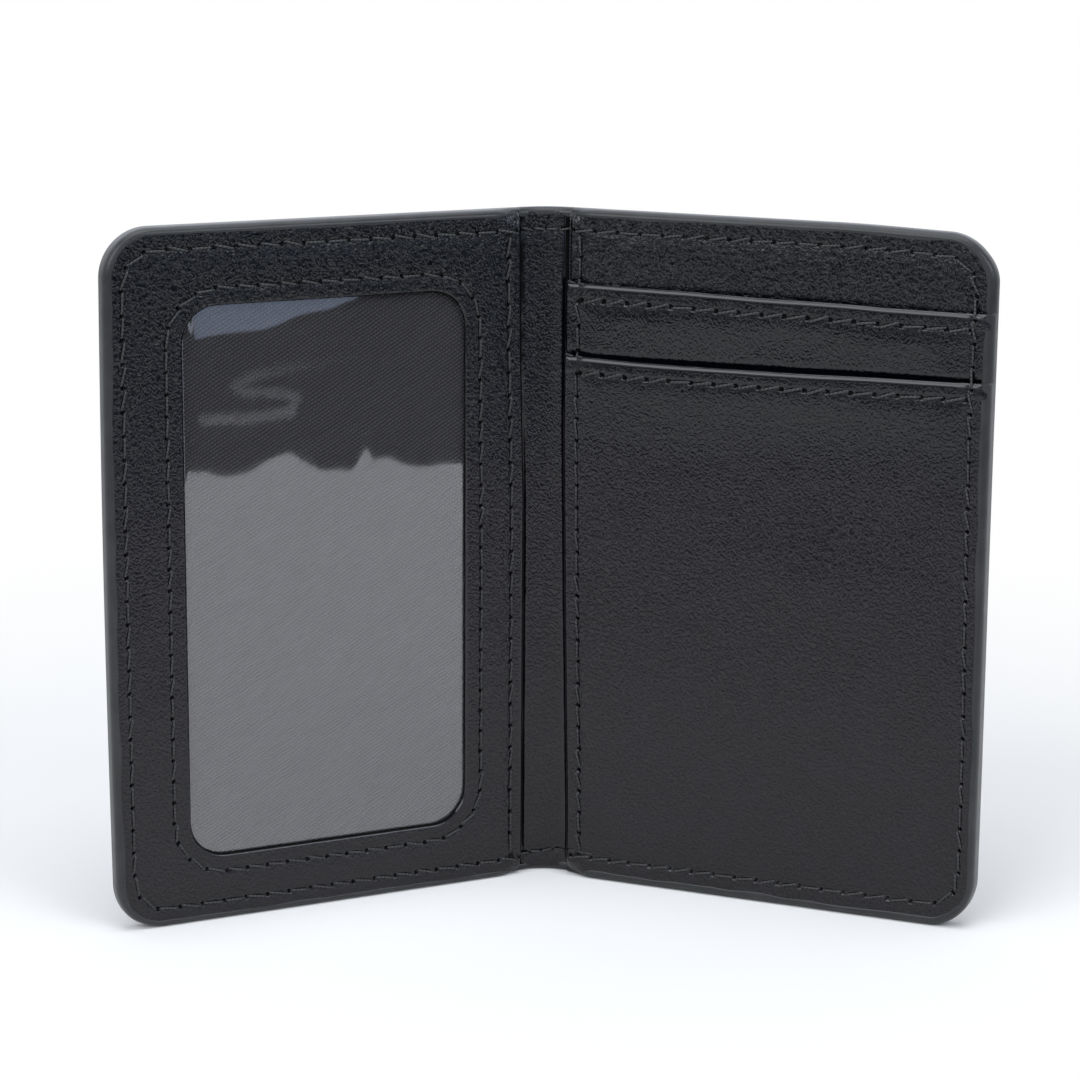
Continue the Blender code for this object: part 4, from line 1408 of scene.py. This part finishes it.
def both_leaves():
    """The plies, painted edges and sewing that the two leaves have alike."""
    for side, name in SIDE_NAMES.items():
        settle(outer_cover(side), ["spine_cover", name + "_cover"], side, True)
        settle(spine_lining_strip(side), ["spine_strip"], side, True)
        settle(leaf_bead(side), [name + "_edge_paint"], side)
        settle(spine_bead(side, True), ["spine_head_paint"], side, True)
        settle(spine_bead(side, False), ["spine_foot_paint"], side, True)
        lining = settle(lining_sheet(side), [name + "_lining"], side)

        seam = sew(name + "_outside_sewing", side, [outside_seam()], COVER_BACK, 31 + side, inside=False)
        nodes = [name + "_outside_stitch", "spine_head_outside_stitch", "spine_foot_outside_stitch"]
        settle(seam, nodes, side, True)
        crossings = spine_seams(HALF_ARC + 0.7)
        seam = sew(name + "_spine_sewing", side, crossings, STRIP_FACE, 35 + side, pitch=2.1)
        settle(seam, ["spine_head_inside_stitch", "spine_foot_inside_stitch"], side, True)

        board = frame["nodes"][name + "_board"]
        board.data.materials.clear()
        board.data.materials.append(BOARD)


def left_leaf():
    """The identity window: film, leather frame and their sewing."""
    settle(window_film(), ["window_film"], LEFT)
    settle(window_frame(), ["window_panel"], LEFT)
    window = on_cover(WINDOW_SEAM, True)
    perimeter = on_cover(LEFT_PERIMETER)
    edge = on_cover(LEFT_EDGE_SEAM)
    sew_leaf("window_sewing", "window_stitch", LEFT, [window], LEFT_FACE, 41, pitch=WINDOW_STITCH_PITCH)
    sew_leaf("left_perimeter_sewing", "left_perimeter_stitch", LEFT, [perimeter], LEFT_FACE, 42)
    sew_leaf("window_frame_edge_sewing", "window_panel_edge_stitch", LEFT, [edge], LEFT_FACE, 43)


def right_leaf():
    """The card pockets: back panel, two tiers with turned mouths, and their sewing."""
    perimeter = on_cover(RIGHT_PERIMETER)
    edge = on_cover(RIGHT_EDGE_SEAM)
    upper_seam = on_cover(UPPER_MOUTH_SEAM)
    lower_seam = on_cover(LOWER_MOUTH_SEAM)
    back = panel(
        "pocket_back_leather", BACK_PANEL_START, BACK_PANEL_BACK, BACK_PANEL_FACE, [perimeter, edge],
        pocket_above=UPPER_MOUTH, hollow=UPPER_MOUTH_HOLLOW,
    )
    settle(back, ["pocket_back_panel"], RIGHT)
    upper = panel(
        "upper_pocket_leather", POCKET_START, UPPER_POCKET_BACK, UPPER_POCKET_FACE,
        [perimeter, edge, upper_seam], low=UPPER_POCKET_FLOOR, high=UPPER_MOUTH, mouth=True, floor=True,
        pocket_above=LOWER_MOUTH,
    )
    settle(upper, ["upper_card_pocket"], RIGHT)
    lower = panel(
        "lower_pocket_leather", POCKET_START, LOWER_POCKET_BACK, RIGHT_FACE,
        [perimeter, edge, lower_seam], high=LOWER_MOUTH, mouth=True, swollen=True,
    )
    settle(lower, ["lower_card_pocket"], RIGHT)
    sew_leaf("right_perimeter_sewing", "right_perimeter_stitch", RIGHT, [perimeter], right_face_depth, 51)
    sew_leaf("pocket_edge_sewing", "pocket_edge_stitch", RIGHT, [edge], right_face_depth, 52)
    spine_edge = HALF_ARC + POCKET_START
    for name, path, mouth, face in (
        ("upper_mouth", upper_seam, UPPER_MOUTH, UPPER_POCKET_FACE),
        ("lower_mouth", lower_seam, LOWER_MOUTH, RIGHT_FACE),
    ):
        sew_leaf(name + "_sewing", name + "_stitch", RIGHT, [path], right_face_depth, 53, **MOUTH_STITCH)
        height = mouth - MOUTH_STITCH_DROP
        passes = [
            (straight((spine_edge + 0.15, height), (spine_edge + 1.7, height)), False),
            (straight((spine_edge + 0.2, mouth + 0.2), (spine_edge + 3.4, mouth - 0.15)), False),
        ]
        knot = {"pitch": 1.3, "hole": (0.3, 0.2), "jitter": 14.0}
        sew_leaf(name + "_knot", name + "_tack", RIGHT, passes, face, 54, **knot)
    start = spine_edge + SEAM_START
    passes = [(straight((start, STITCH_BOTTOM + 0.9), (start + 4.2, STITCH_BOTTOM + 0.7)), False)]
    knot = {"pitch": 1.4, "hole": (0.5, 0.3), "jitter": 12.0}
    sew_leaf("foot_knot", "foot_backstitch", RIGHT, passes, RIGHT_FACE, 55, **knot)


both_leaves()
left_leaf()
right_leaf()


# The stage: a white floor, and soft studio light from above and in front
FLOOR_SIZE = 3.0
WHITE_FLOOR_LEFT = 400.0
WHITE_FLOOR_RIGHT = 299.0
FADE_START = 0.07
FADE_END = 0.24
HORIZON = (-0.065, -0.035)
SIDE_LIGHT_EDGES = ((0.33, 0.38), (0.52, 0.58), (0.92, 0.99), (1.10, 1.20))
SIDE_LIGHT = (0.70, 0.76, 0.90, 1.0)
DARK_ROOM = (0.012, 0.012, 0.012, 1.0)
WHITE = (1.0, 1.0, 1.0, 1.0)
LAMPS = {
    "overhead": ((0.0, -0.2, 1.05), (0.0, 0.0, 0.0), (0.75, 0.65), 5.6, (0.97, 0.99, 1.0)),
    "front_left": ((-0.72, -0.85, 0.80), (0.0, 0.0, 0.05), (0.9, 0.9), 8.5, (0.92, 0.96, 1.0)),
    "front_right": ((0.8, -0.8, 0.7), (0.0, 0.0, 0.05), (0.6, 0.6), 4.2, (0.92, 0.96, 1.0)),
}
CAMERA_PLACE = (-16.016, -460.6, 162.866)
CAMERA_TURNS = (12.977, 1.866, 0.421)
CAMERA_LENS = 105.15
SENSOR_WIDTH = 36.0


def floor():
    """A plain white floor. Reflections find it dark past the front edge of the white sweep."""
    mesh = bpy.data.meshes.new("floor")
    corners = [(x * FLOOR_SIZE, y * FLOOR_SIZE, 0) for x, y in ((-1, -1), (1, -1), (1, 1), (-1, 1))]
    mesh.from_pydata(corners, [], [(0, 1, 2, 3)])
    finish = Finish("white_sweep")
    place_on = finish.add("TexCoord", {}, "Object")
    x, y, _ = finish.split(place_on)
    sideways = finish.math("MULTIPLY", finish.math("ABSOLUTE", x), math.sin(OPEN_TILT))
    distance = finish.math("MULTIPLY_ADD", y, -math.cos(OPEN_TILT), sideways)
    longer = (WHITE_FLOOR_LEFT - WHITE_FLOOR_RIGHT) * MM
    on_left = finish.math("LESS_THAN", x, 0.0)
    reach = finish.math("MULTIPLY_ADD", on_left, longer, WHITE_FLOOR_RIGHT * MM)
    ahead = finish.math("GREATER_THAN", distance, reach)
    mirrored = finish.add("LightPath", {}, "Is Glossy Ray")
    passed = finish.add("LightPath", {}, "Is Transmission Ray")
    dark_part = finish.math("MULTIPLY", ahead, finish.math("MAXIMUM", mirrored, passed))
    finish.surface({"Base Color": (0.90, 0.90, 0.91, 1.0), "Roughness": 0.9, "Specular IOR Level": 0.0})
    open_room = finish.add("BsdfTransparent", {"Color": WHITE})
    mixed = finish.add("MixShader", {0: dark_part, 1: finish.shader.outputs[0], 2: open_room})
    from_middle = finish.add("VectorMath", {0: place_on, 1: (0.0, 0.03, 0.0)}, "Value", operation="DISTANCE")
    far = finish.remap(from_middle, FADE_START, FADE_END)
    seen = finish.add("LightPath", {}, "Is Camera Ray")
    white = finish.add("Emission", {"Color": WHITE, "Strength": 1.0})
    finish.show(finish.add("MixShader", {0: finish.math("MULTIPLY", far, seen), 1: mixed, 2: white}))
    mesh.materials.append(finish.material)
    add_object("floor", mesh)


def surroundings():
    """White for the camera, a soft even fill, and in reflections a sky over a room with side lights."""
    world = bpy.data.worlds.new("studio")
    bpy.context.scene.world = world
    world.use_nodes = True
    nodes = Nodes(world.node_tree)
    x, y, z = nodes.split(nodes.add("TexCoord", {}, "Generated"))
    to_right = nodes.remap(x, -0.4, 0.4)
    low_sky = nodes.blend(to_right, (0.58, 0.61, 0.68, 1.0), (0.50, 0.60, 0.82, 1.0))
    high_sky = nodes.blend(to_right, (0.95, 0.98, 1.05, 1.0), (0.85, 0.96, 1.20, 1.0))
    sky = nodes.blend(nodes.remap(z, 0.0, 0.16), low_sky, high_sky)
    sky = nodes.blend(nodes.remap(z, 0.35, 0.6), sky, (0.30, 0.32, 0.36, 1.0))
    aside = nodes.math("ABSOLUTE", nodes.math("ARCTAN2", x, nodes.math("MULTIPLY", y, -1.0)))
    room = DARK_ROOM
    for (start, end), light in zip(SIDE_LIGHT_EDGES, (SIDE_LIGHT, DARK_ROOM) * 2):
        room = nodes.blend(nodes.remap(aside, start, end), room, light)
    room = nodes.blend(nodes.remap(z, *HORIZON), room, sky)
    behind = nodes.blend(nodes.remap(z, 0.10, 0.45), (1.05, 1.07, 1.10, 1.0), (1.75, 1.85, 2.05, 1.0))
    room = nodes.blend(nodes.remap(y, 0.0, 0.2), room, behind)
    mirrored = nodes.add("LightPath", {}, "Is Glossy Ray")
    lit = nodes.blend(mirrored, (0.40, 0.41, 0.43, 1.0), room)
    seen = nodes.blend(nodes.add("LightPath", {}, "Is Camera Ray"), lit, WHITE)
    nodes.fill(nodes.tree.nodes["Background"], {"Color": seen})


def soft_lamp(name, location, target, size, power, colour):
    """A rectangular lamp that shines on a target."""
    lamp = bpy.data.lights.new(name, "AREA")
    lamp.shape = "RECTANGLE"
    lamp.size, lamp.size_y = size
    lamp.energy = power
    lamp.color = colour
    obj = add_object(name, lamp)
    obj.location = location
    obj.rotation_euler = (Vector(target) - Vector(location)).to_track_quat("-Z", "Y").to_euler()


def camera():
    """The photograph's view: a long lens, a little above the wallet."""
    lens = bpy.data.cameras.new("camera")
    lens.lens = CAMERA_LENS
    lens.sensor_width = SENSOR_WIDTH
    obj = add_object("camera", lens)
    pitch, yaw, roll = (math.radians(turn) for turn in CAMERA_TURNS)
    ahead = Vector((math.sin(yaw) * math.cos(pitch), math.cos(yaw) * math.cos(pitch), -math.sin(pitch)))
    level = Vector((math.cos(yaw), -math.sin(yaw), 0.0))
    raised = level.cross(ahead)
    across = math.cos(roll) * level + math.sin(roll) * raised
    up = math.cos(roll) * raised - math.sin(roll) * level
    turn = Matrix((across, up, -ahead)).transposed()
    obj.matrix_world = Matrix.Translation(Vector(CAMERA_PLACE) * MM) @ turn.to_4x4()
    bpy.context.scene.camera = obj


floor()
surroundings()
for lamp_name, settings in LAMPS.items():
    soft_lamp(lamp_name, *settings)
camera()
bpy.context.scene.view_settings.view_transform = "Standard"
